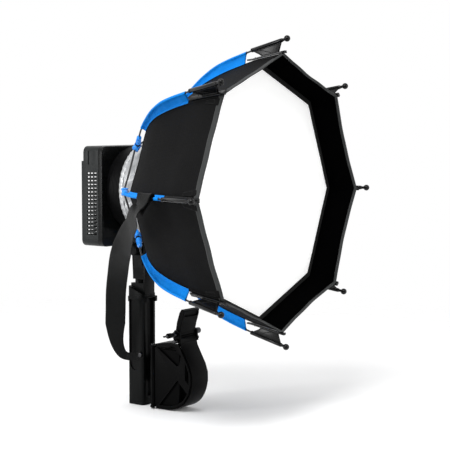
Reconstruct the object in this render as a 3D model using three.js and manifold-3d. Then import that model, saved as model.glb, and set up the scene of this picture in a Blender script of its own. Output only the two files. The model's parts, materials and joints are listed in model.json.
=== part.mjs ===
// Eight-rib octagonal softbox on a battery lamp head with a tilting hand grip,
// a webbing carry strap and a hinged battery cage.
// Units are millimetres, +Z is up and -Y is the way the light is thrown.
// The origin is the middle of the flat underside of the hand grip.
import * as THREE from 'three';
import { mergeVertices } from 'three/addons/utils/BufferGeometryUtils.js';
import Module from 'manifold-3d';

const wasm = await Module();
wasm.setup();

// ---------------------------------------------------------------- dimensions
const AXIS_Z = 502;            // height of the light's optical axis
const RIBS = 8;                // ribs, one at every corner of the octagon
const GAP = 0.35;              // clearance between neighbouring pieces

// fabric shell, corner radius and Y from the rear edge to the front rim
const SHELL = [[186, -126], [200, -136], [219, -157], [237, -184], [252, -216],
  [265, -251], [276, -287], [287, -327], [299, -397]];
const SHELL_T = 1.4;           // fabric thickness
const DIFF_R = 283;            // corner radius of the front diffuser
const DIFF_Y = -333;           // how far forward it hangs
const DIFF_T = 1.6;

// bowed rods, radius and Y of the centre line
const ROD_R = 2;
const ROD = [[143.5, -75.5], [160, -88], [184, -107], [203, -125], [225, -148],
  [249, -177], [272, -214], [287, -251], [299, -289], [306, -312]];
const SLEEVE_T = 2.6;          // blue fabric fin between rod and shell

// rib tips: a tube, a bracket under it and a ball in front
const TUBE_R = 4.6;
const TUBE_A = [307, -312.6];  // rear end of the tube
const TIP = [330, -405];       // middle of the ball
const BALL_R = 7.0;
const WEB_T = 4;                // bracket plate
const FOOT_W = 11;             // foot bar on the seam

// ring that carries the rear ends of the rods
const RING_R = 139;
const RING_Y = -66.5;
const CLIP_A = [131.5, -66.6];
const CLIP_B = [150, -80.6];
const CLIP_C = [174, -99];
const CLIP_R = 6.2;

// fabric collar between the shell and the lamp
const SKIRT = [[183, -128.4], [150, -100], [122, -66], [112, -26]];
const SKIRT_T = 1.4;

// lamp head
const HEAD_W = 220, HEAD_Z0 = 372, HEAD_Z1 = 600;
const BEZEL_Y0 = 23, BEZEL_Y1 = 34.7;
const BODY_Y0 = 35, BODY_Y1 = 85;
const HEAD_R = 14;
const VENT_ROWS = 17, VENT_Z0 = 398, VENT_PITCH = 8.6, VENT_H = 4.6;
const COLLAR_R = 96, COLLAR_IN = 84, COLLAR_Y0 = -30, COLLAR_Y1 = 22.7;

// tilt joint
const TILT_Y = 2, TILT_Z = 360;
const EAR_R = 15;

// hand grip
const GRIP_W = 48, GRIP_D = 47, GRIP_R = 7;
const GRIP_TOP_BACK = 276, GRIP_TOP_FRONT = 257;
const FOOT_T = 5;               // foot plate that closes the grip

// carry strap
const STRAP_W = 46, STRAP_T = 2.0;

// battery cage
const CAGE_IN = 29, CAGE_OUT = 33;       // half widths
const BAND_T = 2.6;
const BAND = [[-66.5, 1.2], [-86, 1.0], [-110, 2.2], [-131, 8.5], [-150, 21], [-164, 42],
  [-170.5, 66], [-170, 88], [-163, 108], [-151, 129], [-141.5, 148], [-138.8, 160]];
const BOLT = [-128, 177];                // cross bolt, Y and Z
const PIN2 = [-131.5, 162.8];            // second cross pin
const HINGE = [-33.5, -60];                // door pin, X and Y

// ---------------------------------------------------------------- helpers
const mats = {
  shell: new THREE.MeshStandardMaterial({ color: 0x1b1b1b, roughness: 0.85, metalness: 0 }),
  blue: new THREE.MeshStandardMaterial({ color: 0x0a74dd, roughness: 0.7, metalness: 0 }),
  bluePlastic: new THREE.MeshStandardMaterial({ color: 0x1a86ee, roughness: 0.4, metalness: 0 }),
  rod: new THREE.MeshStandardMaterial({ color: 0x15161a, roughness: 0.4, metalness: 0.3 }),
  tip: new THREE.MeshStandardMaterial({ color: 0x101012, roughness: 0.35, metalness: 0 }),
  white: new THREE.MeshStandardMaterial({ color: 0xf4f4f2, roughness: 0.9, metalness: 0 }),
  silver: new THREE.MeshStandardMaterial({ color: 0xcfd1d2, roughness: 0.5, metalness: 0.2 }),
  head: new THREE.MeshStandardMaterial({ color: 0x46494b, roughness: 0.55, metalness: 0.1 }),
  black: new THREE.MeshStandardMaterial({ color: 0x111213, roughness: 0.6, metalness: 0 }),
  alu: new THREE.MeshStandardMaterial({ color: 0x9a9da0, roughness: 0.4, metalness: 1 }),
  steel: new THREE.MeshStandardMaterial({ color: 0x6c6e70, roughness: 0.35, metalness: 1 }),
  led: new THREE.MeshStandardMaterial({ color: 0xe9dca0, roughness: 0.6, metalness: 0 }),
  grip: new THREE.MeshStandardMaterial({ color: 0x17181a, roughness: 0.7, metalness: 0 }),
  strap: new THREE.MeshStandardMaterial({ color: 0x2a2b2b, roughness: 0.9, metalness: 0 }),
};

function clean(geom) {
  const g = geom.clone();
  for (const n of Object.keys(g.attributes)) if (n !== 'position') g.deleteAttribute(n);
  return mergeVertices(g, 1e-4);
}
function volume(g) {
  const p = g.attributes.position.array, t = g.index.array;
  let v = 0;
  for (let i = 0; i < t.length; i += 3) {
    const a = 3 * t[i], b = 3 * t[i + 1], c = 3 * t[i + 2];
    v += p[a] * (p[b + 1] * p[c + 2] - p[b + 2] * p[c + 1])
      + p[a + 1] * (p[b + 2] * p[c] - p[b] * p[c + 2])
      + p[a + 2] * (p[b] * p[c + 1] - p[b + 1] * p[c]);
  }
  return v / 6;
}
function outward(geom) {
  const g = clean(geom);
  if (volume(g) < 0) {
    const t = g.index.array;
    for (let i = 0; i < t.length; i += 3) { const s = t[i]; t[i] = t[i + 1]; t[i + 1] = s; }
  }
  return g;
}
function solid(geom) {
  const g = outward(geom);
  return new wasm.Manifold(new wasm.Mesh({
    numProp: 3,
    vertProperties: new Float32Array(g.attributes.position.array),
    triVerts: new Uint32Array(g.index.array),
  }));
}
function geometry(man) {
  const m = man.getMesh();
  const g = new THREE.BufferGeometry();
  g.setAttribute('position', new THREE.BufferAttribute(new Float32Array(m.vertProperties), 3));
  g.setIndex(new THREE.BufferAttribute(new Uint32Array(m.triVerts), 1));
  return g;
}
const join = (first, ...rest) => rest.reduce((a, b) => a.add(solid(b)), solid(first));
const cut = (body, ...tools) => tools.reduce((a, b) => a.subtract(solid(b)), body);

function outline(points) {
  const s = new THREE.Shape();
  points.forEach(([x, y], i) => (i ? s.lineTo(x, y) : s.moveTo(x, y)));
  s.closePath();
  return s;
}
function prism(points, depth, z0 = 0) {
  const g = new THREE.ExtrudeGeometry(outline(points), { depth, bevelEnabled: false, steps: 1 });
  g.translate(0, 0, z0);
  return g;
}
function box(x0, x1, y0, y1, z0, z1) {
  const g = new THREE.BoxGeometry(x1 - x0, y1 - y0, z1 - z0);
  g.translate((x0 + x1) / 2, (y0 + y1) / 2, (z0 + z1) / 2);
  return g;
}
function rounded(w, h, r, seg = 4) {
  const pts = [];
  const cs = [[w / 2 - r, h / 2 - r, 0], [-w / 2 + r, h / 2 - r, 90],
    [-w / 2 + r, -h / 2 + r, 180], [w / 2 - r, -h / 2 + r, 270]];
  for (const [cx, cy, a0] of cs) {
    for (let i = 0; i <= seg; i++) {
      const a = (a0 + 90 * i / seg) * Math.PI / 180;
      pts.push([cx + r * Math.cos(a), cy + r * Math.sin(a)]);
    }
  }
  return pts;
}
function circle(cx, cy, r, n, a0 = 0) {
  const pts = [];
  for (let i = 0; i < n; i++) {
    const a = a0 + 2 * Math.PI * i / n;
    pts.push([cx + r * Math.cos(a), cy + r * Math.sin(a)]);
  }
  return pts;
}
// a cylinder along X, Y or Z between two stations
function rodX(x0, x1, y, z, r, n = 16) {
  const g = new THREE.CylinderGeometry(r, r, x1 - x0, n);
  g.rotateZ(Math.PI / 2); g.translate((x0 + x1) / 2, y, z); return g;
}
function rodY(y0, y1, x, z, r, n = 16) {
  const g = new THREE.CylinderGeometry(r, r, y1 - y0, n);
  g.translate(x, (y0 + y1) / 2, z); return g;
}
function rodZ(z0, z1, x, y, r, n = 16) {
  const g = new THREE.CylinderGeometry(r, r, z1 - z0, n);
  g.rotateX(Math.PI / 2); g.translate(x, y, (z0 + z1) / 2); return g;
}
// an outline in the Y-Z plane, thick along X
function slabX(points, x0, x1) {
  const g = prism(points, x1 - x0);
  const p = g.attributes.position;
  for (let i = 0; i < p.count; i++) {
    const y = p.getX(i), z = p.getY(i), x = p.getZ(i);
    p.setXYZ(i, x0 + x, y, z);
  }
  return outward(g);
}
// an outline in the X-Z plane, thick along Y
function slabY(points, y0, y1) {
  const g = prism(points, y1 - y0);
  const p = g.attributes.position;
  for (let i = 0; i < p.count; i++) {
    const x = p.getX(i), z = p.getY(i), y = p.getZ(i);
    p.setXYZ(i, x, y0 + y, z);
  }
  return outward(g);
}
// ring turned about the optical axis; closed profile of [radius, y]
function ring(profile, segments) {
  const pts = [...profile, profile[0]].map(([r, y]) => new THREE.Vector2(r, y));
  const g = new THREE.LatheGeometry(pts, segments);
  return g;
}
// turn a piece drawn in the radial plane (x is radius, y is Y) to a rib
function toRib(g, k) {
  g.rotateY(-k * Math.PI / 4);
  g.translate(0, 0, AXIS_Z);
  return g;
}
function offset2(points, d) {
  // shift an open polyline sideways, to the left of its run for d > 0
  return points.map((p, i) => {
    const a = points[Math.max(0, i - 1)], b = points[Math.min(points.length - 1, i + 1)];
    const tx = b[0] - a[0], ty = b[1] - a[1], l = Math.hypot(tx, ty);
    return [p[0] - d * ty / l, p[1] + d * tx / l];
  });
}
function smooth2(points, n) {
  const c = new THREE.CatmullRomCurve3(points.map(([x, y]) => new THREE.Vector3(x, y, 0)), false, 'centripetal');
  return c.getSpacedPoints(n).map((v) => [v.x, v.y]);
}
function lerpAt(points, y) {
  for (let i = 1; i < points.length; i++) {
    const [r0, y0] = points[i - 1], [r1, y1] = points[i];
    if ((y0 - y) * (y1 - y) <= 0) return r0 + (r1 - r0) * (y - y0) / (y1 - y0);
  }
  return points[points.length - 1][0];
}
const group = new THREE.Group();
function place(name, geom, material) {
  const g = geom.isBufferGeometry ? outward(geom) : geometry(geom);
  const mesh = new THREE.Mesh(g, material);
  mesh.name = name;
  group.add(mesh);
  return mesh;
}

// ---------------------------------------------------------------- fabric shell
const shellRing = (() => {
  const inner = offset2(SHELL, -SHELL_T).reverse();
  return solid(ring([...SHELL, ...inner], RIBS)).translate([0, 0, AXIS_Z]);
})();
for (let k = 0; k < RIBS; k++) {
  // keep the wedge between rib k and rib k + 1
  const a0 = k * Math.PI / 4, a1 = (k + 1) * Math.PI / 4, am = (a0 + a1) / 2;
  const off = GAP / Math.sin(Math.PI / 8);
  const ox = off * Math.cos(am), oz = off * Math.sin(am);
  const far = 700;
  const wedge = slabY([[ox, oz], [ox + far * Math.cos(a0), oz + far * Math.sin(a0)],
    [ox + far * Math.cos(a1), oz + far * Math.sin(a1)]], -420, -100);
  wedge.translate(0, 0, AXIS_Z);
  place(`shell_panel_${k + 1}`, shellRing.intersect(solid(wedge)), mats.shell);
}

// ---------------------------------------------------------------- ribs
const rodLine = smooth2(ROD, 15);
const rodPath = new THREE.CatmullRomCurve3(rodLine.map(([x, y]) => new THREE.Vector3(x, y, 0)), false, 'centripetal');
function rodGeometry() {
  return new THREE.ExtrudeGeometry(outline(circle(0, 0, ROD_R, 6, Math.PI / 6)),
    { steps: 13, extrudePath: rodPath, bevelEnabled: false });
}
// fin between the rod and the seam of the shell
function sleeveOutline() {
  const outer = [];
  for (const [r, y] of offset2(smooth2(ROD, 60), -(ROD_R + 0.6))) if (y < -119 && y > -299) outer.push([r, y]);
  const pick = outer.filter((_, i) => i % 4 === 0);
  if (pick[pick.length - 1] !== outer[outer.length - 1]) pick.push(outer[outer.length - 1]);
  const seam = offset2(SHELL, 0.9).filter(([, y]) => y <= -125 && y > -290);
  seam.push([lerpAt(offset2(SHELL, 0.9), -296), -296]);
  return [...pick, ...seam.reverse()];
}
const sleevePts = sleeveOutline();
function sleeveGeometry() { return prism(sleevePts, SLEEVE_T, -SLEEVE_T / 2); }

function tipSolid() {
  const dx = TIP[0] - TUBE_A[0], dy = TIP[1] - TUBE_A[1], len = Math.hypot(dx, dy);
  // tube, neck and ball, turned about one line
  const prof = [[0, 0], [TUBE_R, 0], [TUBE_R, len - 12], [3.2, len - 9], [3.2, len - 6.3]];
  for (const a of [-40, -5, 30, 62]) {
    const t = a * Math.PI / 180;
    prof.push([BALL_R * Math.cos(t), len + BALL_R * Math.sin(t)]);
  }
  prof.push([0, len + BALL_R]);
  const g = new THREE.LatheGeometry(prof.map(([r, y]) => new THREE.Vector2(r, y)), 9);
  g.rotateZ(Math.atan2(-dx, dy));
  g.translate(TUBE_A[0], TUBE_A[1], 0);
  // bracket plate under the tube, a foot bar along the seam and a claw over the rim
  const seam = (y) => lerpAt(offset2(SHELL, 1.1), y);
  const axis = (y) => TUBE_A[0] + dx * (y - TUBE_A[1]) / dy;
  const web = prism([[axis(-317), -317], [seam(-342) + 2, -342], [seam(-384) + 2, -384], [axis(-392), -392]], WEB_T, -WEB_T / 2);
  const foot = prism([[seam(-305) + 5.6, -304], [seam(-305) + 2.2, -304], [seam(-318), -318], [seam(-360), -360],
    [seam(-392), -392], [seam(-396.5) - 0.2, -399], [seam(-396) + 4.6, -400.5], [seam(-390) + 4.4, -391],
    [seam(-360) + 3.6, -360], [seam(-318) + 3.6, -318]], FOOT_W, -FOOT_W / 2);
  let m = solid(web).add(solid(g)).add(solid(foot));
  m = m.add(solid(prism([[seam(-386), -386], [seam(-397) + 5, -401.5], [seam(-397) - 1, -402.5],
    [seam(-397) - 1, -398.4], [seam(-390), -392]], FOOT_W, -FOOT_W / 2)));
  return m;
}
const tipGeo = geometry(tipSolid());

for (let k = 0; k < RIBS; k++) {
  place(`rib_rod_${k + 1}`, toRib(rodGeometry(), k), mats.rod);
  let sleeve = toRib(sleeveGeometry(), k);
  if (k === 4) {
    // the rib on the left has a notch that lets the strap's loop round the rod
    const notch = toRib(prism([[268.5, -233], [294, -233], [309, -281], [285, -281]], 8, -4), k);
    sleeve = cut(solid(sleeve), notch);
  }
  place(`rib_sleeve_${k + 1}`, sleeve, mats.blue);
  place(`rib_tip_${k + 1}`, toRib(tipGeo.clone(), k), mats.tip);
}

// ---------------------------------------------------------------- rod ring with clips
{
  let body = solid(ring(circle(RING_R, RING_Y, 2.6, 6), RIBS));
  const d = [CLIP_B[0] - CLIP_A[0], CLIP_B[1] - CLIP_A[1]];
  const l = Math.hypot(...d);
  for (let k = 0; k < RIBS; k++) {
    const barrel = new THREE.CylinderGeometry(CLIP_R, CLIP_R, l, 8);
    barrel.translate(0, l / 2, 0);
    barrel.rotateZ(Math.atan2(-d[0], d[1]));
    barrel.translate(CLIP_A[0], CLIP_A[1], 0);
    const e = [CLIP_C[0] - CLIP_B[0], CLIP_C[1] - CLIP_B[1]], le = Math.hypot(...e);
    const ferrule = new THREE.CylinderGeometry(CLIP_R - 2, CLIP_R, le, 8);
    ferrule.translate(0, le / 2, 0);
    ferrule.rotateZ(Math.atan2(-e[0], e[1]));
    ferrule.translate(CLIP_B[0], CLIP_B[1], 0);
    const boss = new THREE.CylinderGeometry(6.6, 6.6, 17, 8);
    boss.rotateX(Math.PI / 2);
    boss.translate(RING_R + 0.5, RING_Y - 1.5, 0);
    const bore = new THREE.CylinderGeometry(ROD_R + 1.1, ROD_R + 1.1, le + 14, 8);
    bore.rotateY(Math.PI / 8);
    bore.translate(0, (le + 14) / 2 - 10, 0);
    bore.rotateZ(Math.atan2(-e[0], e[1]));
    bore.translate(CLIP_B[0], CLIP_B[1], 0);
    const clip = cut(join(barrel, boss, ferrule), bore);
    const turned = geometry(clip);
    turned.rotateY(-k * Math.PI / 4);
    body = body.add(solid(turned));
  }
  place('speed_ring', geometry(body.translate([0, 0, AXIS_Z])), mats.bluePlastic);
}

// ---------------------------------------------------------------- soft collar and diffuser
{
  const outer = SKIRT;
  const inner = offset2(SKIRT, SKIRT_T).reverse();
  const g = ring([...outer, ...inner], RIBS);
  g.translate(0, 0, AXIS_Z);
  place('collar_skirt', g, mats.silver);
  const pts = circle(0, AXIS_Z, DIFF_R, RIBS);
  place('front_diffuser', slabY(pts, DIFF_Y - DIFF_T / 2, DIFF_Y + DIFF_T / 2), mats.white);
}

// ---------------------------------------------------------------- lamp head
const headZ = (HEAD_Z0 + HEAD_Z1) / 2, headH = HEAD_Z1 - HEAD_Z0;
const at = (pts, x, z) => pts.map(([a, b]) => [a + x, b + z]);
{
  // front bezel
  let bezel = solid(slabY(at(rounded(HEAD_W, headH, HEAD_R), 0, headZ), BEZEL_Y0, BEZEL_Y1));
  bezel = cut(bezel, rodY(BEZEL_Y0 - 5, BEZEL_Y1 + 5, 0, AXIS_Z, COLLAR_IN + 2, 36));
  place('head_bezel', bezel, mats.black);

  // hollow rear shell, open to the front, with cooling slots
  let shell = solid(slabY(at(rounded(HEAD_W, headH, HEAD_R), 0, headZ), BODY_Y0, BODY_Y1));
  shell = cut(shell, slabY(at(rounded(HEAD_W - 8, headH - 8, HEAD_R - 4), 0, headZ), BODY_Y0 - 2, 74));
  shell = cut(shell, box(-103, 103, 73, 81, HEAD_Z0 + 6, 556));
  shell = cut(shell, box(-120, 120, 79.5, 90, 566, 610));
  const slots = [];
  for (let i = 0; i < VENT_ROWS; i++) {
    const z = VENT_Z0 + i * VENT_PITCH;
    slots.push(box(-115, -105, 40, 69, z, z + VENT_H), box(105, 115, 40, 69, z, z + VENT_H));
    slots.push(box(-99, -52, 78, 88, z, z + VENT_H), box(52, 99, 78, 88, z, z + VENT_H));
  }
  slots.push(box(-112, -109.2, 40, 66, 386.4, 388.2), box(109.2, 112, 40, 66, 386.4, 388.2));
  // shallow pockets at the upper side corners
  slots.push(box(-112, -107.6, 45, 66, 558, 590), box(107.6, 112, 45, 66, 558, 590));
  // fan outlet in the rear wall, left as eight openings round a hub
  for (let i = 0; i < 8; i++) {
    const a0 = (i * 45 + 6) * Math.PI / 180, a1 = ((i + 1) * 45 - 6) * Math.PI / 180, am = (a0 + a1) / 2;
    const c = (r, a) => [r * Math.cos(a), 486 + r * Math.sin(a)];
    slots.push(slabY([c(14, a0), c(37, a0), c(38.5, am), c(37, a1), c(14, a1)], 78, 88));
  }
  // hole the power button slides in
  slots.push(rodY(78, 88, 30, 404, 7.4, 18));
  shell = cut(shell, ...slots);
  place('head_shell', shell, mats.head);

  // light source and cooling
  place('led_board', join(rodY(36, 39.4, 0, AXIS_Z, 80, 32), rodY(33, 37, 0, AXIS_Z, 22, 20)), mats.led);
  let sink = solid(box(-60, 60, 39.8, 44, 426, 566));
  for (let i = 0; i < 12; i++) {
    const x = -58.5 + i * 10.4;
    sink = sink.add(solid(box(x, x + 2.4, 43, 63, 428, 564)));
  }
  place('heat_sink', sink, mats.alu);
  // fan rotor
  let fan = solid(rodY(66, 77, 0, 486, 12, 16));
  for (let i = 0; i < 7; i++) {
    const b = new THREE.BoxGeometry(25, 1.6, 11);
    b.rotateX(0.7);
    b.translate(22.5, 71.5, 0);
    b.rotateY(i * 2 * Math.PI / 7);
    b.translate(0, 0, 486);
    fan = fan.add(solid(b));
  }
  place('fan_rotor', fan, mats.black);

  // controls on the back
  const grooves = [];
  for (let i = 0; i < 12; i++) {
    const a = i * Math.PI / 6;
    grooves.push(rodY(86, 100, -30 + 14.6 * Math.cos(a), 404 + 14.6 * Math.sin(a), 1.6, 6));
  }
  place('dimmer_knob', cut(solid(rodY(BODY_Y1 + GAP, 97, -30, 404, 14, 24)), ...grooves), mats.black);
  place('power_button', rodY(82.6, 88.2, 30, 404, 7, 18), mats.steel);

  // round collar that carries the soft collar
  const col = ring([[COLLAR_R, COLLAR_Y1], [COLLAR_R, -18], [99, -20], [99, COLLAR_Y0],
    [COLLAR_IN, COLLAR_Y0], [COLLAR_IN, COLLAR_Y1]], 36);
  col.translate(0, 0, AXIS_Z);
  place('mount_collar', col, mats.black);
}

// ---------------------------------------------------------------- tilt joint
{
  const half = 8;
  // arm on the lamp: hub, upright, saddle under the collar, plate under the body
  let arm = solid(rodX(-half, half, TILT_Y, TILT_Z, EAR_R, 20));
  arm = arm.add(solid(slabX([[-24, 344], [-18, 344], [-18, 400], [-24, 400]], -17, 17)));
  arm = arm.add(solid(slabX([[-20, 350], [2, 346], [2, 374], [-20, 378]], -half, half)));
  arm = arm.add(solid(slabX([[-24, 394], [-10, 394], [-10, 402.6], [-24, 402.6]], -17, 17)));
  arm = arm.add(solid(slabX([[2, 362], [10, 354], [26, 362], [68, 365.6], [68, 371.6], [10, 371.6]], -half, half)));
  arm = arm.add(solid(slabX([[23, 366.6], [70, 366.6], [70, 371.6], [23, 371.6]], -24, 24)));
  arm = cut(arm, rodX(-20, 20, TILT_Y, TILT_Z, 4.4, 16));
  place('tilt_arm', arm, mats.black);

  // fork on the grip: foot, round pedestal, two ears and a front wall
  const slope = (y) => GRIP_TOP_FRONT + (GRIP_TOP_BACK - GRIP_TOP_FRONT) * (y + 25) / 46.5;
  let base = solid(slabX([[-18, slope(-18) + GAP], [19, slope(19) + GAP], [19, 283], [-18, 283]], -16, 16));
  base = base.add(solid(rodZ(278, 297, 0, 3, 13, 24)));
  base = base.add(solid(slabX([[-24, slope(-24) + GAP], [-18, slope(-18) + GAP], [-18, 334], [-24, 334]], -17, 17)));
  base = base.add(solid(slabX([[-20, 292], [14, 292], [14, 318], [-20, 326]], -15.2, 15.2)));
  for (const [x0, x1] of [[-15.2, -half - 0.5], [half + 0.5, 15.2]]) {
    base = base.add(solid(slabX([[-13, 300], [14, 300], [TILT_Y + EAR_R, TILT_Z], [TILT_Y - EAR_R, TILT_Z]], x0, x1)));
    base = base.add(solid(rodX(x0, x1, TILT_Y, TILT_Z, EAR_R, 24)));
  }
  // room for the hub to turn in
  base = cut(base, rodX(-half - 0.5, half + 0.5, TILT_Y, TILT_Z, EAR_R + 15, 24));
  base = cut(base, rodX(-20, 20, TILT_Y, TILT_Z, 4.4, 16));
  place('tilt_base', base, mats.black);

  // ribbed clamping knob with its screw through the joint
  const pts = [];
  for (let i = 0; i < 28; i++) {
    const a = i * Math.PI / 14, r = i % 2 ? 12.6 : 11.2;
    pts.push([TILT_Y + r * Math.cos(a), TILT_Z + r * Math.sin(a)]);
  }
  place('tilt_knob', join(slabX(pts, -31, -15.6), rodX(-17, 19, TILT_Y, TILT_Z, 4, 16)), mats.black);
}

// ---------------------------------------------------------------- hand grip
{
  const w = GRIP_W, d = GRIP_D;
  let body = solid(prism(rounded(w, d, GRIP_R, 3), 290));
  // flared lip round the top of the front
  body = body.add(solid(prism(rounded(w + 3, d + 9, GRIP_R + 2, 3), 12, 240)).translate([0, -2, 0]));
  body = body.intersect(solid(slabX([[-40, 0], [GRIP_D / 2, 0], [GRIP_D / 2, GRIP_TOP_BACK], [-25, GRIP_TOP_FRONT], [-40, GRIP_TOP_FRONT - 6]], -40, 40)));
  // U-shaped groove down the front
  body = cut(body, slabY([[-13, 250], [-13, 32], [-10.5, 24], [-6, 20], [0, 18.6], [6, 20], [10.5, 24], [13, 32], [13, 250]], -40, -GRIP_D / 2 + 6));
  // long shallow recess on each side
  const rec = [[17, 246], [17, 96], [14.5, 88], [9, 82], [2, 80], [-5, 82], [-10, 88], [-12, 96], [-12, 236], [-6, 242]];
  body = cut(body, slabX(rec, -40, -w / 2 + 3.4), slabX(rec, w / 2 - 3.4, 40));
  // seat for the strap screw on the left
  body = cut(body, rodX(-w / 2 + 2.6, -w / 2 + 0.2 + 12, -16.6, 118, 2.6, 12));
  const left = body.intersect(solid(box(-60, -0.18, -60, 60, FOOT_T + GAP, 300)));
  const right = body.intersect(solid(box(0.18, 60, -60, 60, FOOT_T + GAP, 300)));
  place('grip_foot', prism(rounded(w, d, GRIP_R, 3), FOOT_T), mats.black);
  place('grip_left', left, mats.grip);
  place('grip_right', right, mats.grip);
}

// ---------------------------------------------------------------- carry strap
const STRAP_PATH = [
  [-281, -257.5, 509.5], [-288, -257.5, 513.2], [-295.5, -257.3, 511], [-301, -255.5, 500], [-304, -239.5, 470],
  [-262, -189.5, 436], [-221, -139.5, 404], [-170, -82, 362], [-123, -34, 318], [-92, -1, 272], [-72, 18, 226],
  [-63, 27, 182], [-57, 27, 146], [-48, 20, 121], [-37, 8, 113], [-28.5, -4, 113.5], [-25.6, -12, 116], [-25.6, -20, 118],
];
const STRAP_WIDE = [
  [-0.30, -0.95, 0], [-0.30, -0.95, 0], [-0.30, -0.95, 0], [-0.30, -0.95, 0], [-0.30, -0.95, 0], [-0.30, -0.95, 0],
  [-0.04, -1, 0], [0.33, -0.94, 0], [0.50, -0.87, 0], [0.56, -0.83, 0], [0.60, -0.80, 0], [0.60, -0.80, 0],
  [0.58, -0.78, 0.2], [0.45, -0.55, 0.7], [0.25, -0.3, 0.92], [0.1, 0, 1], [0, 0.05, 1], [0, 0.1, 1],
];
{
  const n = 44;
  const path = new THREE.CatmullRomCurve3(STRAP_PATH.map((p) => new THREE.Vector3(...p)), false, 'centripetal');
  const wide = new THREE.CatmullRomCurve3(STRAP_WIDE.map((p) => new THREE.Vector3(...p)), false, 'catmullrom');
  const g = new THREE.BoxGeometry(1, 1, 1, 1, 1, n);
  const p = g.attributes.position;
  for (let i = 0; i < p.count; i++) {
    const t = Math.min(1, Math.max(0, p.getZ(i) + 0.5));
    const c = path.getPoint(t), tan = path.getTangent(t), w = wide.getPoint(t);
    w.addScaledVector(tan, -w.dot(tan)).normalize();
    const nor = new THREE.Vector3().crossVectors(tan, w);
    const width = t > 0.74 ? STRAP_W - (STRAP_W - 17) * Math.min(1, (t - 0.74) / 0.18) : STRAP_W;
    c.addScaledVector(w, p.getX(i) * width).addScaledVector(nor, p.getY(i) * STRAP_T);
    p.setXYZ(i, c.x, c.y, c.z);
  }
  place('carry_strap', g, mats.strap);
  place('strap_screw', join(rodX(-29.4, -26.9, -16.6, 118, 5, 14), rodX(-26.9 - 0.4, -26.7, -16.6, 118, 2, 12)), mats.steel);
}

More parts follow.
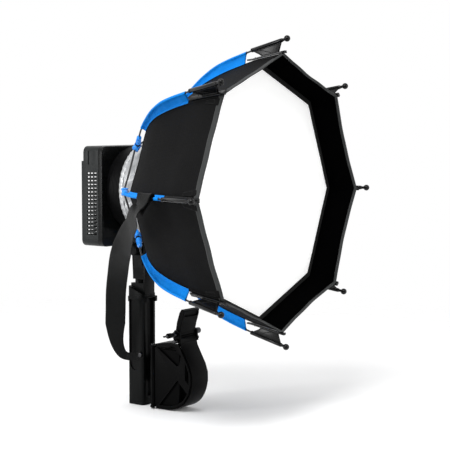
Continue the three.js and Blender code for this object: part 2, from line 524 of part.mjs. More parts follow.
// ---------------------------------------------------------------- battery cage
{
  const band = smooth2(BAND, 26);
  let guard = solid(slabX([...band, ...offset2(band, -BAND_T).reverse()], -CAGE_IN, CAGE_IN));
  // crossbar and two ears that carry the clamp's bolt and pin
  guard = guard.add(solid(slabX([[-140.8, 157.6], [-136.6, 157.6], [-136, 166], [-138.2, 166]], -CAGE_OUT, CAGE_OUT)));
  const ear = [[-140.8, 157.6], [-127, 157.6], [-119.5, 166], [-119, 180], [-124, 186.5], [-132, 186.5], [-138, 180]];
  guard = guard.add(solid(slabX(ear, -CAGE_OUT, -28.4))).add(solid(slabX(ear, 28.4, CAGE_OUT)));
  guard = cut(guard, rodX(-40, 40, BOLT[0], BOLT[1], 3.4, 12), rodX(-40, 40, PIN2[0], PIN2[1], 3.4, 12));
  place('guard_band', guard, mats.black);

  const rim = [[-62, 3.4], [-86, 3.2], [-110, 4.4], [-130, 10.5], [-148.5, 22.6], [-162, 43], [-168.2, 66.5],
    [-167.8, 87.4], [-161, 107], [-149, 128], [-138.6, 147], [-134, 155.5], [-116, 155.5], [-62, 147]];
  const windows = [
    [[-72, 142.5], [-118, 149.5], [-141, 129], [-137, 108], [-130, 104]],
    [[-131, 72], [-78, 9.5], [-111, 10.5], [-130, 16], [-147, 27.5], [-159, 44]],
    [[-153, 115], [-153, 75], [-163.5, 66], [-163, 92]],
  ];
  const web = (x0, x1) => cut(solid(slabX(rim, x0, x1)), ...windows.map((w) => slabX(w, x0 - 2, x1 + 2)));

  // hinged side door with its barrel, notched where the frame's ears hold the pin
  let door = web(-CAGE_OUT, -CAGE_IN - 0.4);
  door = cut(door, box(-40, -20, -69, -50, 0, 8), box(-40, -20, -69, -50, 142, 150));
  door = door.add(solid(rodZ(8, 142, HINGE[0], HINGE[1], 5, 14)));
  door = cut(door, rodZ(-2, 160, HINGE[0], HINGE[1], 2.6, 12));
  place('cage_door', door, mats.black);

  // fixed side, back plate, door ears and the arm that bolts to the grip
  let frame = web(CAGE_IN + 0.4, CAGE_OUT);
  frame = frame.add(solid(box(-25, CAGE_OUT, -58.5, -55.5, 4, 147)));
  frame = frame.add(solid(slabX([[-62, 3.4], [-55.5, 3.4], [-55.5, 147], [-62, 147]], CAGE_IN + 0.4, CAGE_OUT)));
  for (const z of [3.6, 142.6]) {
    frame = frame.add(solid(box(-39, -28.4, -65, -55.5, z, z + 3.8)));
    frame = frame.add(solid(box(-39, -20, -58.5, -55.5, z, z + 3.8)));
  }
  frame = cut(frame, rodZ(-2, 160, HINGE[0], HINGE[1], 2.6, 12));
  frame = frame.add(solid(box(15, 21, -56, -GRIP_D / 2 - GAP, 52, 112)));
  place('cage_frame', frame, mats.black);

  place('door_pin', join(rodZ(2.4, 149, HINGE[0], HINGE[1], 2.2, 12), rodZ(0.6, 3.2, HINGE[0], HINGE[1], 4, 12),
    rodZ(146.8, 150, HINGE[0], HINGE[1], 4, 12)), mats.steel);

  // clamp at the top of the band: lever, bolt, wing nut and second pin
  const [by, bz] = BOLT;
  let lever = solid(rodX(-28, 28, by, bz, 7.5, 18));
  lever = lever.add(solid(slabX([[by - 6.5, bz + 2], [by + 6.5, bz + 1], [by + 2, bz + 26], [by - 6, bz + 50], [by - 11, bz + 57],
    [by - 19, bz + 54], [by - 18, bz + 44], [by - 11, bz + 22]], -28, 28)));
  lever = cut(lever, slabX([[by - 26, bz + 38], [by - 13, bz + 40], [by - 17, bz + 50], [by - 26, bz + 49]], -24, 24));
  lever = cut(lever, rodX(-40, 40, by, bz, 3.5, 12));
  place('clamp_lever', lever, mats.black);
  place('cross_bolt', join(rodX(-67, 34, by, bz, 3, 12), rodX(33, 37, by, bz, 3.6, 12), rodX(36, 50, by, bz, 7, 14),
    rodX(-52, -33.5, by, bz, 5.6, 12)), mats.steel);
  let nut = solid(rodX(-63, -52.6, by, bz, 6, 12));
  nut = nut.add(solid(slabX([[by - 15, bz + 1.4], [by - 13, bz + 5.4], [by - 4, bz + 2.8], [by + 4, bz + 1.4], [by + 13, bz - 1.6],
    [by + 15, bz - 1.4], [by + 13, bz - 5.4], [by + 4, bz - 2.8], [by - 4, bz - 1.4], [by - 13, bz + 1.6]], -62, -56)));
  nut = cut(nut, rodX(-70, -50, by, bz, 3.35, 12));
  place('wing_nut', nut, mats.black);
  // the second pin holds the top of the band
  place('clamp_pin', join(rodX(-36, 36, PIN2[0], PIN2[1], 3, 12), rodX(-47, -33.6, PIN2[0], PIN2[1], 4, 12),
    rodX(33.6, 42, PIN2[0], PIN2[1], 4, 12)), mats.steel);

  // battery, with its front lower corner cut to clear the band
  place('battery_pack', slabX([[-59, 5], [-110, 5], [-131, 16], [-134, 40], [-134, 136], [-131, 139], [-59, 139]], -28, 28), mats.grip);
}

export default group;
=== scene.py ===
# Looks of the octagonal softbox lamp: fabric, webbing, moulded parts and studio.
import bpy
import bmesh
import json
import math
from mathutils import Matrix, Vector

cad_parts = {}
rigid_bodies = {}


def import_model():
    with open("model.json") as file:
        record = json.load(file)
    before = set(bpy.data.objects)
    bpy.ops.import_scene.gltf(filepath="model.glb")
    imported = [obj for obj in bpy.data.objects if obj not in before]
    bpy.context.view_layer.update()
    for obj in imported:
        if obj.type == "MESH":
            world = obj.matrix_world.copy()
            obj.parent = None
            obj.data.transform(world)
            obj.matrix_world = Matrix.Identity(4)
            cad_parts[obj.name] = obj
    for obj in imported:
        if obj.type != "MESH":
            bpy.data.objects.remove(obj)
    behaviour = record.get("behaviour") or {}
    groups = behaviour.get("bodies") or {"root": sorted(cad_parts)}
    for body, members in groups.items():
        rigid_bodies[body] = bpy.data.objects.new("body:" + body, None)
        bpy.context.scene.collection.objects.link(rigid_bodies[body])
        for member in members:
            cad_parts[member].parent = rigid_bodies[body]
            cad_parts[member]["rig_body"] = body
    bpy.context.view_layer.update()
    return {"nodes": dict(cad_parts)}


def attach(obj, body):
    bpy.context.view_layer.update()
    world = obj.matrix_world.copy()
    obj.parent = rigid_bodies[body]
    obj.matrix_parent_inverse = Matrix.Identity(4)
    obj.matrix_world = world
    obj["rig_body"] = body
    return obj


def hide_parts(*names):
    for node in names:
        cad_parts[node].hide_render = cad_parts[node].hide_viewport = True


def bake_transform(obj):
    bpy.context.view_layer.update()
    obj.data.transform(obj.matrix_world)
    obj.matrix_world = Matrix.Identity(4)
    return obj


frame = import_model()
nodes = frame["nodes"]
MM = 0.001
AXIS_Z = 502.0
RIBS = 8
TAU = 2 * math.pi

# ------------------------------------------------------------------ camera first
CAM_AZ, CAM_EL = math.radians(-53.267), math.radians(4.536)
cam_back = Vector((math.sin(CAM_AZ) * math.cos(CAM_EL), -math.cos(CAM_AZ) * math.cos(CAM_EL), math.sin(CAM_EL)))
cam_right = Vector((math.cos(CAM_AZ), math.sin(CAM_AZ), 0))
cam_up = cam_back.cross(cam_right)
cam_data = bpy.data.cameras.new("camera")
cam_data.sensor_width = 36
cam_data.lens = 111.16
cam_data.clip_start = 0.05
cam_data.clip_end = 60
camera = bpy.data.objects.new("camera", cam_data)
m = Matrix((cam_right, cam_up, cam_back)).transposed().to_4x4()
m.translation = Vector((-2.45394, -2.07226, 0.67085))
camera.matrix_world = m
bpy.context.scene.collection.objects.link(camera)
bpy.context.scene.camera = camera


# ------------------------------------------------------------------ material kit
class Mat:
    """A small helper round one Principled material."""

    def __init__(self, name, base, rough, metal=0.0, spec=0.5, sheen=0.0, sheen_rough=0.5, coat=0.0, coat_rough=0.2):
        self.m = bpy.data.materials.new(name)
        self.m.use_nodes = True
        self.nt = self.m.node_tree
        self.b = self.nt.nodes["Principled BSDF"]
        self.b.inputs["Base Color"].default_value = (*base, 1)
        self.b.inputs["Roughness"].default_value = rough
        self.b.inputs["Metallic"].default_value = metal
        self.b.inputs["Specular IOR Level"].default_value = spec
        self.b.inputs["Sheen Weight"].default_value = sheen
        self.b.inputs["Sheen Roughness"].default_value = sheen_rough
        self.b.inputs["Coat Weight"].default_value = coat
        self.b.inputs["Coat Roughness"].default_value = coat_rough
        self.m.diffuse_color = (*base, 1)
        self._co = None

    def node(self, kind, **props):
        n = self.nt.nodes.new(kind)
        for k, v in props.items():
            setattr(n, k, v)
        return n

    def link(self, a, b):
        self.nt.links.new(a, b)

    def coord(self, what="Object"):
        if self._co is None:
            self._co = self.node("ShaderNodeTexCoord")
        return self._co.outputs[what]

    def scaled(self, source, scale):
        n = self.node("ShaderNodeVectorMath", operation="MULTIPLY")
        self.link(source, n.inputs[0])
        n.inputs[1].default_value = scale
        return n.outputs[0]

    def noise(self, scale, detail=3.0, rough=0.5, source=None, dist=0.0):
        n = self.node("ShaderNodeTexNoise")
        n.inputs["Scale"].default_value = scale
        n.inputs["Detail"].default_value = detail
        n.inputs["Roughness"].default_value = rough
        n.inputs["Distortion"].default_value = dist
        self.link(source or self.coord(), n.inputs["Vector"])
        return n.outputs["Fac"]

    def math(self, op, a, b=None, clamp=False):
        n = self.node("ShaderNodeMath", operation=op, use_clamp=clamp)
        for i, v in enumerate((a, b)):
            if v is None:
                continue
            if isinstance(v, (int, float)):
                n.inputs[i].default_value = v
            else:
                self.link(v, n.inputs[i])
        return n.outputs[0]

    def remap(self, fac, lo, hi, a=0.0, b=1.0):
        n = self.node("ShaderNodeMapRange")
        self.link(fac, n.inputs["Value"])
        n.inputs["From Min"].default_value = lo
        n.inputs["From Max"].default_value = hi
        n.inputs["To Min"].default_value = a
        n.inputs["To Max"].default_value = b
        return n.outputs["Result"]

    def mix(self, fac, a, b):
        n = self.node("ShaderNodeMix", data_type="RGBA")
        self.link(fac, n.inputs[0])
        for i, v in ((6, a), (7, b)):
            if isinstance(v, tuple):
                n.inputs[i].default_value = (*v, 1)
            else:
                self.link(v, n.inputs[i])
        return n.outputs[2]

    def split(self, vec):
        n = self.node("ShaderNodeSeparateXYZ")
        self.link(vec, n.inputs[0])
        return n.outputs[0], n.outputs[1], n.outputs[2]

    def bump(self, height, strength, distance, normal=None):
        n = self.node("ShaderNodeBump")
        n.inputs["Strength"].default_value = strength
        n.inputs["Distance"].default_value = distance
        self.link(height, n.inputs["Height"])
        if normal is not None:
            self.link(normal, n.inputs["Normal"])
        return n.outputs[0]

    def color(self, out):
        self.link(out, self.b.inputs["Base Color"])

    def rough(self, out):
        self.link(out, self.b.inputs["Roughness"])

    def normal(self, out):
        self.link(out, self.b.inputs["Normal"])


def shade(c, k):
    return tuple(x * k for x in c)


def woven(name, base, pitch, rough=0.85, sheen=0.15, contrast=0.35, big=0.22, spec=0.25, strength=0.5, ripstop=0.0):
    """Plain weave drawn on the piece's own cloth coordinates, which are in metres."""
    M = Mat(name, base, rough, spec=spec, sheen=sheen, sheen_rough=0.4)
    u, v, _ = M.split(M.coord("UV"))
    k = TAU / (2 * pitch)
    su = M.math("SINE", M.math("MULTIPLY", u, k))
    sv = M.math("SINE", M.math("MULTIPLY", v, k))
    weave = M.math("MULTIPLY", su, sv)
    w01 = M.remap(weave, -1, 1)
    height = w01
    cloud = M.noise(7.0, 4, 0.55)
    fuzz = M.noise(420.0, 2, 0.6)
    dark, light = shade(base, 1 - contrast), shade(base, 1 + contrast)
    tone = M.mix(w01, dark, light)
    tone2 = M.mix(M.remap(cloud, 0.3, 0.7, 0, 1), shade(base, 1 - big), shade(base, 1 + big))
    n = M.node("ShaderNodeMix", data_type="RGBA", blend_type="MULTIPLY")
    n.inputs[0].default_value = 0.35
    M.link(tone2, n.inputs[6])
    M.link(M.mix(w01, (0.6, 0.6, 0.6), (1.0, 1.0, 1.0)), n.inputs[7])
    M.color(n.outputs[2])
    if ripstop:
        ru = M.math("POWER", M.math("ABSOLUTE", M.math("SINE", M.math("MULTIPLY", u, math.pi / ripstop))), 40)
        rv = M.math("POWER", M.math("ABSOLUTE", M.math("SINE", M.math("MULTIPLY", v, math.pi / ripstop))), 40)
        height = M.math("ADD", height, M.math("MULTIPLY", M.math("MAXIMUM", ru, rv), 1.2))
    M.rough(M.remap(fuzz, 0.2, 0.8, rough - 0.08, min(1.0, rough + 0.08)))
    n1 = M.bump(M.noise(38.0, 4, 0.5), 0.25, 0.0012)
    M.normal(M.bump(height, strength, pitch * 0.35, n1))
    return M.m


def moulded(name, base, rough=0.5, grain=900.0, depth=0.00006, spec=0.45, wear=0.0, metal=0.0, big=0.15, coat=0.0):
    """Moulded or coated surface with fine grain, faint handling marks and lighter worn edges."""
    M = Mat(name, base, rough, metal=metal, spec=spec, coat=coat)
    fine = M.noise(grain, 2, 0.6)
    cloud = M.noise(14.0, 5, 0.6)
    smear = M.noise(5.0, 6, 0.7, dist=1.5)
    tone = M.mix(M.remap(cloud, 0.3, 0.7), shade(base, 1 - big), shade(base, 1 + big))
    if wear:
        geo = M.node("ShaderNodeNewGeometry")
        edge = M.remap(geo.outputs["Pointiness"], 0.53, 0.60)
        patchy = M.math("MULTIPLY", edge, M.remap(M.noise(60.0, 4, 0.6), 0.42, 0.62), clamp=True)
        tone = M.mix(M.math("MULTIPLY", patchy, wear), tone, tuple(min(1.0, x * 1.6 + 0.002) for x in base))
    M.color(tone)
    r = M.math("ADD", M.remap(smear, 0.3, 0.7, rough - 0.09, rough + 0.07), M.remap(fine, 0.3, 0.7, -0.03, 0.03))
    M.rough(r)
    M.normal(M.bump(fine, 0.35, depth))
    return M.m


# tones of the object
MAT = {}
MAT["canopy"] = woven("canopy_cloth", (0.0046, 0.0046, 0.0048), 0.0011, rough=0.80, sheen=0.0, contrast=0.35, ripstop=0.007, spec=0.08)
# painted shade: the inner face of the canopy in front of the diffuser is a copy of the black cloth, about five times
# darker and without gloss, standing for the shade inside the recess
MAT["inside"] = woven("canopy_inside_painted_shade", (0.0009, 0.0009, 0.0010), 0.0011, rough=0.9, sheen=0.0, contrast=0.3, spec=0.0)
MAT["binding"] = woven("binding_tape", (0.044, 0.046, 0.046), 0.0009, rough=0.8, sheen=0.05, contrast=0.4, spec=0.12)
MAT["blue"] = woven("blue_cloth", (0.0008, 0.225, 0.74), 0.0010, rough=0.66, sheen=0.0, contrast=0.22, big=0.12, spec=0.12)
MAT["white"] = woven("diffusion_cloth_painted_glow", (0.95, 0.95, 0.945), 0.0008, rough=0.95, sheen=0.1, contrast=0.04, big=0.01)
# painted glow: the diffusion cloth gets a white emission of 0.30, so it shines though no lamp lights it from behind
MAT["white"].node_tree.nodes["Principled BSDF"].inputs["Emission Color"].default_value = (1, 1, 1, 1)
MAT["white"].node_tree.nodes["Principled BSDF"].inputs["Emission Strength"].default_value = 0.30
MAT["elastic"] = woven("elastic_band", (0.012, 0.012, 0.012), 0.0012, rough=0.9, sheen=0.0, spec=0.12)
MAT["silver"] = woven("silver_cloth", (0.52, 0.53, 0.54), 0.0009, rough=0.34, sheen=0.0, contrast=0.06, big=0.06, spec=0.5)
MAT["silver"].node_tree.nodes["Principled BSDF"].inputs["Metallic"].default_value = 0.6
MAT["thread"] = moulded("thread", (0.030, 0.031, 0.031), rough=0.7, spec=0.2)
MAT["thread_blue"] = moulded("thread_blue", (0.002, 0.19, 0.70), rough=0.6, spec=0.2)
MAT["tip"] = moulded("tip_plastic", (0.0028, 0.0028, 0.0030), rough=0.22, spec=0.22, wear=0.0)
MAT["rod"] = moulded("rod_fibre", (0.010, 0.010, 0.011), rough=0.30, grain=500.0, spec=0.4)
MAT["clip"] = moulded("clip_blue", (0.002, 0.25, 0.85), rough=0.26, spec=0.5, wear=0.0, big=0.08)
MAT["head"] = moulded("head_shell", (0.0125, 0.0142, 0.0144), rough=0.40, grain=1500.0, depth=0.00008, spec=0.18, wear=0.1)
MAT["bezel"] = moulded("head_bezel", (0.0024, 0.0027, 0.0026), rough=0.28, grain=1500.0, spec=0.18, wear=0.15)
MAT["black"] = moulded("black_plastic", (0.0022, 0.0022, 0.0024), rough=0.45, spec=0.08, wear=0.1)
MAT["powder"] = moulded("powder_coat", (0.0022, 0.0025, 0.0026), rough=0.36, grain=700.0, depth=0.00010, spec=0.08, wear=0.1)
MAT["grip"] = moulded("grip_soft_touch", (0.0018, 0.0021, 0.0021), rough=0.40, grain=1100.0, depth=0.00008, spec=0.08, wear=0.05)
MAT["cage"] = moulded("cage_nylon", (0.0011, 0.0011, 0.0012), rough=0.42, grain=800.0, spec=0.04, wear=0.05)
MAT["rubber"] = moulded("knob_rubber", (0.003, 0.003, 0.003), rough=0.5, grain=600.0, spec=0.12, wear=0.0)
MAT["steel"] = moulded("black_steel", (0.05, 0.05, 0.052), rough=0.32, metal=1.0, wear=0.3)
MAT["bright"] = moulded("bright_steel", (0.55, 0.55, 0.56), rough=0.28, metal=1.0)
MAT["alu"] = moulded("aluminium", (0.60, 0.61, 0.62), rough=0.38, metal=1.0)
MAT["battery"] = moulded("battery_case", (0.0010, 0.0010, 0.0011), rough=0.5, spec=0.03, wear=0.0)


def webbing(name, base, pitch):
    """Ribbed webbing: chevron ribs across the width over fine lengthwise cords."""
    M = Mat(name, base, 0.85, spec=0.15, sheen=0.08, sheen_rough=0.4)
    u, v, _ = M.split(M.coord("UV"))
    tri = M.math("ABSOLUTE", M.math("SUBTRACT", M.math("FRACT", M.math("MULTIPLY", u, 1 / 0.010)), 0.5))
    ph = M.math("ADD", M.math("MULTIPLY", v, TAU / pitch), M.math("MULTIPLY", tri, 14.0))
    rib = M.remap(M.math("SINE", ph), -1, 1)
    cross = M.remap(M.math("SINE", M.math("MULTIPLY", u, TAU / 0.0012)), -1, 1)
    h = M.math("ADD", M.math("MULTIPLY", rib, 0.7), M.math("MULTIPLY", cross, 0.3))
    cloud = M.noise(9.0, 4, 0.6)
    a = M.mix(M.remap(cloud, 0.3, 0.7), shade(base, 0.8), shade(base, 1.2))
    n = M.node("ShaderNodeMix", data_type="RGBA", blend_type="MULTIPLY")
    n.inputs[0].default_value = 0.6
    M.link(a, n.inputs[6])
    M.link(M.mix(h, (0.55, 0.55, 0.55), (1.1, 1.1, 1.1)), n.inputs[7])
    M.color(n.outputs[2])
    M.rough(M.remap(M.noise(300.0, 2), 0.2, 0.8, 0.78, 0.92))
    M.normal(M.bump(h, 0.6, 0.0005))
    return M.m


MAT["webbing"] = webbing("strap_webbing", (0.0056, 0.0058, 0.0058), 0.0022)


def led_material():
    """Light source: a yellow phosphor disc on a white ceramic board, with faint brownish blotches."""
    M = Mat("led_board", (0.8, 0.8, 0.78), 0.5, spec=0.4)
    x, y, z = M.split(M.coord())
    dz = M.math("SUBTRACT", z, AXIS_Z * MM)
    r = M.math("SQRT", M.math("ADD", M.math("MULTIPLY", x, x), M.math("MULTIPLY", dz, dz)))
    disc = M.remap(r, 0.0165, 0.0172, 1, 0)
    col = M.mix(disc, (0.75, 0.76, 0.74), (0.85, 0.62, 0.10))
    M.color(M.mix(M.remap(M.noise(160.0, 3), 0.35, 0.65, 0, 0.25), col, (0.5, 0.45, 0.3)))
    M.normal(M.bump(M.noise(700.0, 2), 0.3, 0.0001))
    return M.m


MAT["led"] = led_material()


# ------------------------------------------------------------------ mesh kit
def finish_mesh(me, mat, angle=None):
    me.materials.append(mat)
    for p in me.polygons:
        p.use_smooth = True
    if angle is not None:
        me.set_sharp_from_angle(angle=math.radians(angle))
    me.update()


def link(name, me):
    ob = bpy.data.objects.new(name, me)
    bpy.context.scene.collection.objects.link(ob)
    return ob


def grid(name, rows, mat, uv=None, wrap=False, flip=False, angle=None):
    """A surface through rows of points; uv(i, j) gives cloth coordinates in metres."""
    n, mcol = len(rows), len(rows[0])
    verts = [tuple(p) for r in rows for p in r]
    faces, uvs = [], []
    for i in range(n - 1):
        for j in range(mcol if wrap else mcol - 1):
            q = [(i, j), (i, j + 1), (i + 1, j + 1), (i + 1, j)]
            if flip:
                q.reverse()
            faces.append([a * mcol + b % mcol for a, b in q])
            uvs.append([uv(a, b) if uv else (a / n, b / mcol) for a, b in q])
    me = bpy.data.meshes.new(name)
    me.from_pydata(verts, [], faces)
    layer = me.uv_layers.new(name="UVMap")
    for p, w in zip(me.polygons, uvs):
        for li, c in zip(p.loop_indices, w):
            layer.data[li].uv = c
    finish_mesh(me, mat, angle)
    return link(name, me)


def baked(ob):
    """Applies the modifiers of a piece."""
    dg = bpy.context.evaluated_depsgraph_get()
    me = bpy.data.meshes.new_from_object(ob.evaluated_get(dg))
    me.name = ob.name
    ob.modifiers.clear()
    ob.data = me
    return ob


def thick(ob, t, offset=-1.0):
    mod = ob.modifiers.new("s", "SOLIDIFY")
    mod.thickness = t
    mod.offset = offset
    mod.use_even_offset = True
    return baked(ob)


def area_of(ob):
    return sum(p.area for p in ob.data.polygons)


def catmull(points, n):
    """n + 1 points, evenly spaced along a smooth curve through the given ones."""
    P = [Vector(p) for p in points]
    P = [2 * P[0] - P[1]] + P + [2 * P[-1] - P[-2]]
    dense = []
    for i in range(1, len(P) - 2):
        for s in range(24):
            t = s / 24
            a, b, c, d = P[i - 1], P[i], P[i + 1], P[i + 2]
            dense.append(0.5 * (2 * b + (c - a) * t + (2 * a - 5 * b + 4 * c - d) * t * t + (3 * b - a - 3 * c + d) * t ** 3))
    dense.append(P[-2].copy())
    L = [0.0]
    for i in range(1, len(dense)):
        L.append(L[-1] + (dense[i] - dense[i - 1]).length)
    out, k = [], 0
    for j in range(n + 1):
        s = L[-1] * j / n
        while k < len(L) - 2 and L[k + 1] < s:
            k += 1
        f = (s - L[k]) / max(1e-9, L[k + 1] - L[k])
        out.append(dense[k].lerp(dense[k + 1], min(1, max(0, f))))
    return out


def wob(a, b, seed=0.0):
    """Smooth, repeatable unevenness between about -1 and 1."""
    return (math.sin(a * 1.0 + seed * 1.7 + 1.3 * math.sin(b * 0.7 + seed)) * 0.5
            + math.sin(a * 2.3 - b * 1.9 + seed * 2.9) * 0.3
            + math.sin(b * 3.1 + a * 0.6 + seed * 4.1) * 0.2)


def at_rib(k, r, y, w=0.0):
    """Point in the radial plane of rib k: radius, Y, and sideways offset, all in mm."""
    a = k * math.pi / 4
    c, s = math.cos(a), math.sin(a)
    return Vector(((r * c - w * s) * MM, y * MM, (AXIS_Z + r * s + w * c) * MM))


def join_meshes(name, obs):
    """One object out of several, without operators."""
    bm = bmesh.new()
    mats = []
    for o in obs:
        idx = []
        for mt in o.data.materials:
            if mt not in mats:
                mats.append(mt)
            idx.append(mats.index(mt))
        tmp = o.data.copy()
        tmp.transform(o.matrix_world)
        for p in tmp.polygons:
            p.material_index = idx[p.material_index] if idx else 0
        bm.from_mesh(tmp)
        bpy.data.meshes.remove(tmp)
    me = bpy.data.meshes.new(name)
    bm.to_mesh(me)
    bm.free()
    for mt in mats:
        me.materials.append(mt)
    for o in obs:
        bpy.data.objects.remove(o)
    return link(name, me)


def lathe(name, prof, mat, n=32, angle=35):
    """Turned piece about its own +Y axis, profile of (radius, y) in mm from one end of the axis to the other."""
    rows = []
    for r, y in prof:
        rows.append([Vector((r * math.cos(TAU * j / n) * MM, y * MM, r * math.sin(TAU * j / n) * MM)) for j in range(n)])
    ob = grid(name, rows, mat, wrap=True, uv=lambda i, j: (prof[i][0] * MM * TAU * j / n, prof[i][1] * MM))
    bm = bmesh.new()
    bm.from_mesh(ob.data)
    bmesh.ops.remove_doubles(bm, verts=bm.verts, dist=1e-7)
    bmesh.ops.holes_fill(bm, edges=[e for e in bm.edges if e.is_boundary])
    bmesh.ops.recalc_face_normals(bm, faces=bm.faces)
    bm.to_mesh(ob.data)
    bm.free()
    for p in ob.data.polygons:
        p.use_smooth = True
    ob.data.set_sharp_from_angle(angle=math.radians(angle))
    return ob


def turned(ob, direction, at):
    """Points a piece's +Y axis along a direction and puts its origin at a place."""
    q = Vector((0, 1, 0)).rotation_difference(Vector(direction).normalized())
    ob.data.transform(q.to_matrix().to_4x4())
    ob.data.transform(Matrix.Translation(Vector(at)))
    return ob


def tube(name, pts, radius, mat, n=12, cap=True):
    """Round tube along points, in metres; radius may be a list."""
    P = [Vector(p) for p in pts]
    rows, up = [], None
    for i, p in enumerate(P):
        t = (P[min(i + 1, len(P) - 1)] - P[max(i - 1, 0)]).normalized()
        if up is None:
            up = t.orthogonal().normalized()
        up = (up - t * up.dot(t)).normalized()
        side = t.cross(up)
        r = radius[i] if isinstance(radius, (list, tuple)) else radius
        rows.append([p + (up * math.cos(TAU * j / n) + side * math.sin(TAU * j / n)) * r for j in range(n)])
    L = [0.0]
    for i in range(1, len(P)):
        L.append(L[-1] + (P[i] - P[i - 1]).length)
    rr = radius if not isinstance(radius, (list, tuple)) else max(radius)
    ob = grid(name, rows, mat, wrap=True, uv=lambda i, j: (TAU * rr * j / n, L[i]))
    bm = bmesh.new()
    bm.from_mesh(ob.data)
    if cap:
        bmesh.ops.holes_fill(bm, edges=[e for e in bm.edges if e.is_boundary])
    bmesh.ops.recalc_face_normals(bm, faces=bm.faces)
    bm.to_mesh(ob.data)
    bm.free()
    ob.data.set_sharp_from_angle(angle=math.radians(50))
    return ob


def plate(name, outer, holes, half, bevel, mat, to3d):
    """Flat plate with rounded edges, from 2-D outlines in mm; to3d maps (a, b, w) in mm to a point."""
    cu = bpy.data.curves.new(name, "CURVE")
    cu.dimensions = "2D"
    cu.fill_mode = "BOTH"
    cu.extrude = (half - bevel) * MM
    cu.bevel_depth = bevel * MM
    cu.bevel_resolution = 2
    cu.offset = -bevel * MM
    for pts in [outer] + holes:
        sp = cu.splines.new("POLY")
        sp.points.add(len(pts) - 1)
        for q, (a, b) in zip(sp.points, pts):
            q.co = (a * MM, b * MM, 0, 1)
        sp.use_cyclic_u = True
    tmp = link(name + "_c", cu)
    dg = bpy.context.evaluated_depsgraph_get()
    me = bpy.data.meshes.new_from_object(tmp.evaluated_get(dg))
    bpy.data.objects.remove(tmp)
    bpy.data.curves.remove(cu)
    for v in me.vertices:
        v.co = to3d(v.co.x / MM, v.co.y / MM, v.co.z / MM)
    bm = bmesh.new()
    bm.from_mesh(me)
    bmesh.ops.remove_doubles(bm, verts=bm.verts, dist=2e-6)
    bmesh.ops.recalc_face_normals(bm, faces=bm.faces)
    bm.to_mesh(me)
    bm.free()
    me.materials.clear()
    finish_mesh(me, mat, 35)
    me.name = name
    return link(name, me)


def stitches(name, lines, mat, length=2.6, width=0.5, high=0.32, pitch=4.2):
    """Sewn stitches: one small rounded bar after another along each line of (point, normal) pairs, in metres."""
    verts, faces = [], []
    for line in lines:
        P = [p for p, _ in line]
        N = [q for _, q in line]
        L = [0.0]
        for i in range(1, len(P)):
            L.append(L[-1] + (P[i] - P[i - 1]).length)
        s, k = pitch * MM * 0.6, 0
        while s < L[-1] - length * MM:
            while k < len(L) - 2 and L[k + 1] < s:
                k += 1
            f = (s - L[k]) / max(1e-9, L[k + 1] - L[k])
            c = P[k].lerp(P[k + 1], f)
            t = (P[k + 1] - P[k]).normalized()
            nn = N[k].lerp(N[k + 1], f).normalized()
            nn = (nn - t * nn.dot(t)).normalized()
            w = t.cross(nn)
            b0 = len(verts)
            hl, hw, hh = length * MM / 2, width * MM / 2, high * MM
            for sx, hz in ((-1, 0.0), (-0.62, 0.9), (0.62, 0.9), (1, 0.0)):
                for sw in (-1, 0, 1):
                    verts.append(tuple(c + t * sx * hl + w * sw * hw * (1 if hz else 0.6) + nn * hh * (hz if sw == 0 else hz * 0.55)))
            for a in range(3):
                for b in range(2):
                    q = b0 + a * 3 + b
                    faces.append((q, q + 3, q + 4, q + 1))
            s += pitch * MM
    me = bpy.data.meshes.new(name)
    me.from_pydata(verts, [], faces)
    finish_mesh(me, mat)
    return link(name, me)


def bevelled(node, mat, width=0.8, seg=2, angle=32, smooth=38, merge=1e-5, name=None):
    """The CAD solid with its sharp edges rounded, standing for that node."""
    src = nodes[node]
    me = src.data.copy()
    me.name = (name or node + "_finish")
    bm = bmesh.new()
    bm.from_mesh(me)
    bmesh.ops.remove_doubles(bm, verts=bm.verts, dist=merge)
    bmesh.ops.dissolve_limit(bm, angle_limit=math.radians(0.6), verts=bm.verts, edges=bm.edges)
    edges = [e for e in bm.edges if len(e.link_faces) == 2 and e.calc_face_angle(0) > math.radians(angle)]
    if width and edges:
        bmesh.ops.bevel(bm, geom=edges, offset=width * MM, segments=seg, profile=0.6, affect="EDGES",
                        clamp_overlap=True, loop_slide=True)
    bmesh.ops.triangulate(bm, faces=[f for f in bm.faces if len(f.verts) > 4])
    for lay in list(bm.loops.layers.uv):
        bm.loops.layers.uv.remove(lay)
    bm.to_mesh(me)
    bm.free()
    me.materials.clear()
    finish_mesh(me, mat, smooth)
    ob = link(name or node + "_finish", me)
    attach(ob, src["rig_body"])
    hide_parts(node)
    return ob


# ------------------------------------------------------------------ shared profiles, mm
SHELL = [(186, -126), (200, -136), (219, -157), (237, -184), (252, -216), (265, -251), (276, -287), (287, -327), (299, -397)]
ROD = [(143.5, -75.5), (160, -88), (184, -107), (203, -125), (225, -148), (249, -177), (272, -214), (287, -251), (299, -289), (306, -312)]
TUBE_A, TIP = (307, -312.6), (330, -405)
SKIRT = [(183, -128.4), (150, -100), (122, -66), (112, -26)]

# ------------------------------------------------------------------ canopy
NP, NS = 44, 16
shell_line = catmull([(r, y, 0) for r, y in SHELL], NP)


def shell_normal(i):
    a, b = shell_line[max(0, i - 1)], shell_line[min(NP, i + 1)]
    t = (b - a).normalized()
    n = Vector((-t.y, t.x, 0))
    return n if n.x > 0 else -n


shell_len = [0.0]
for i in range(1, NP + 1):
    shell_len.append(shell_len[-1] + (shell_line[i] - shell_line[i - 1]).length)


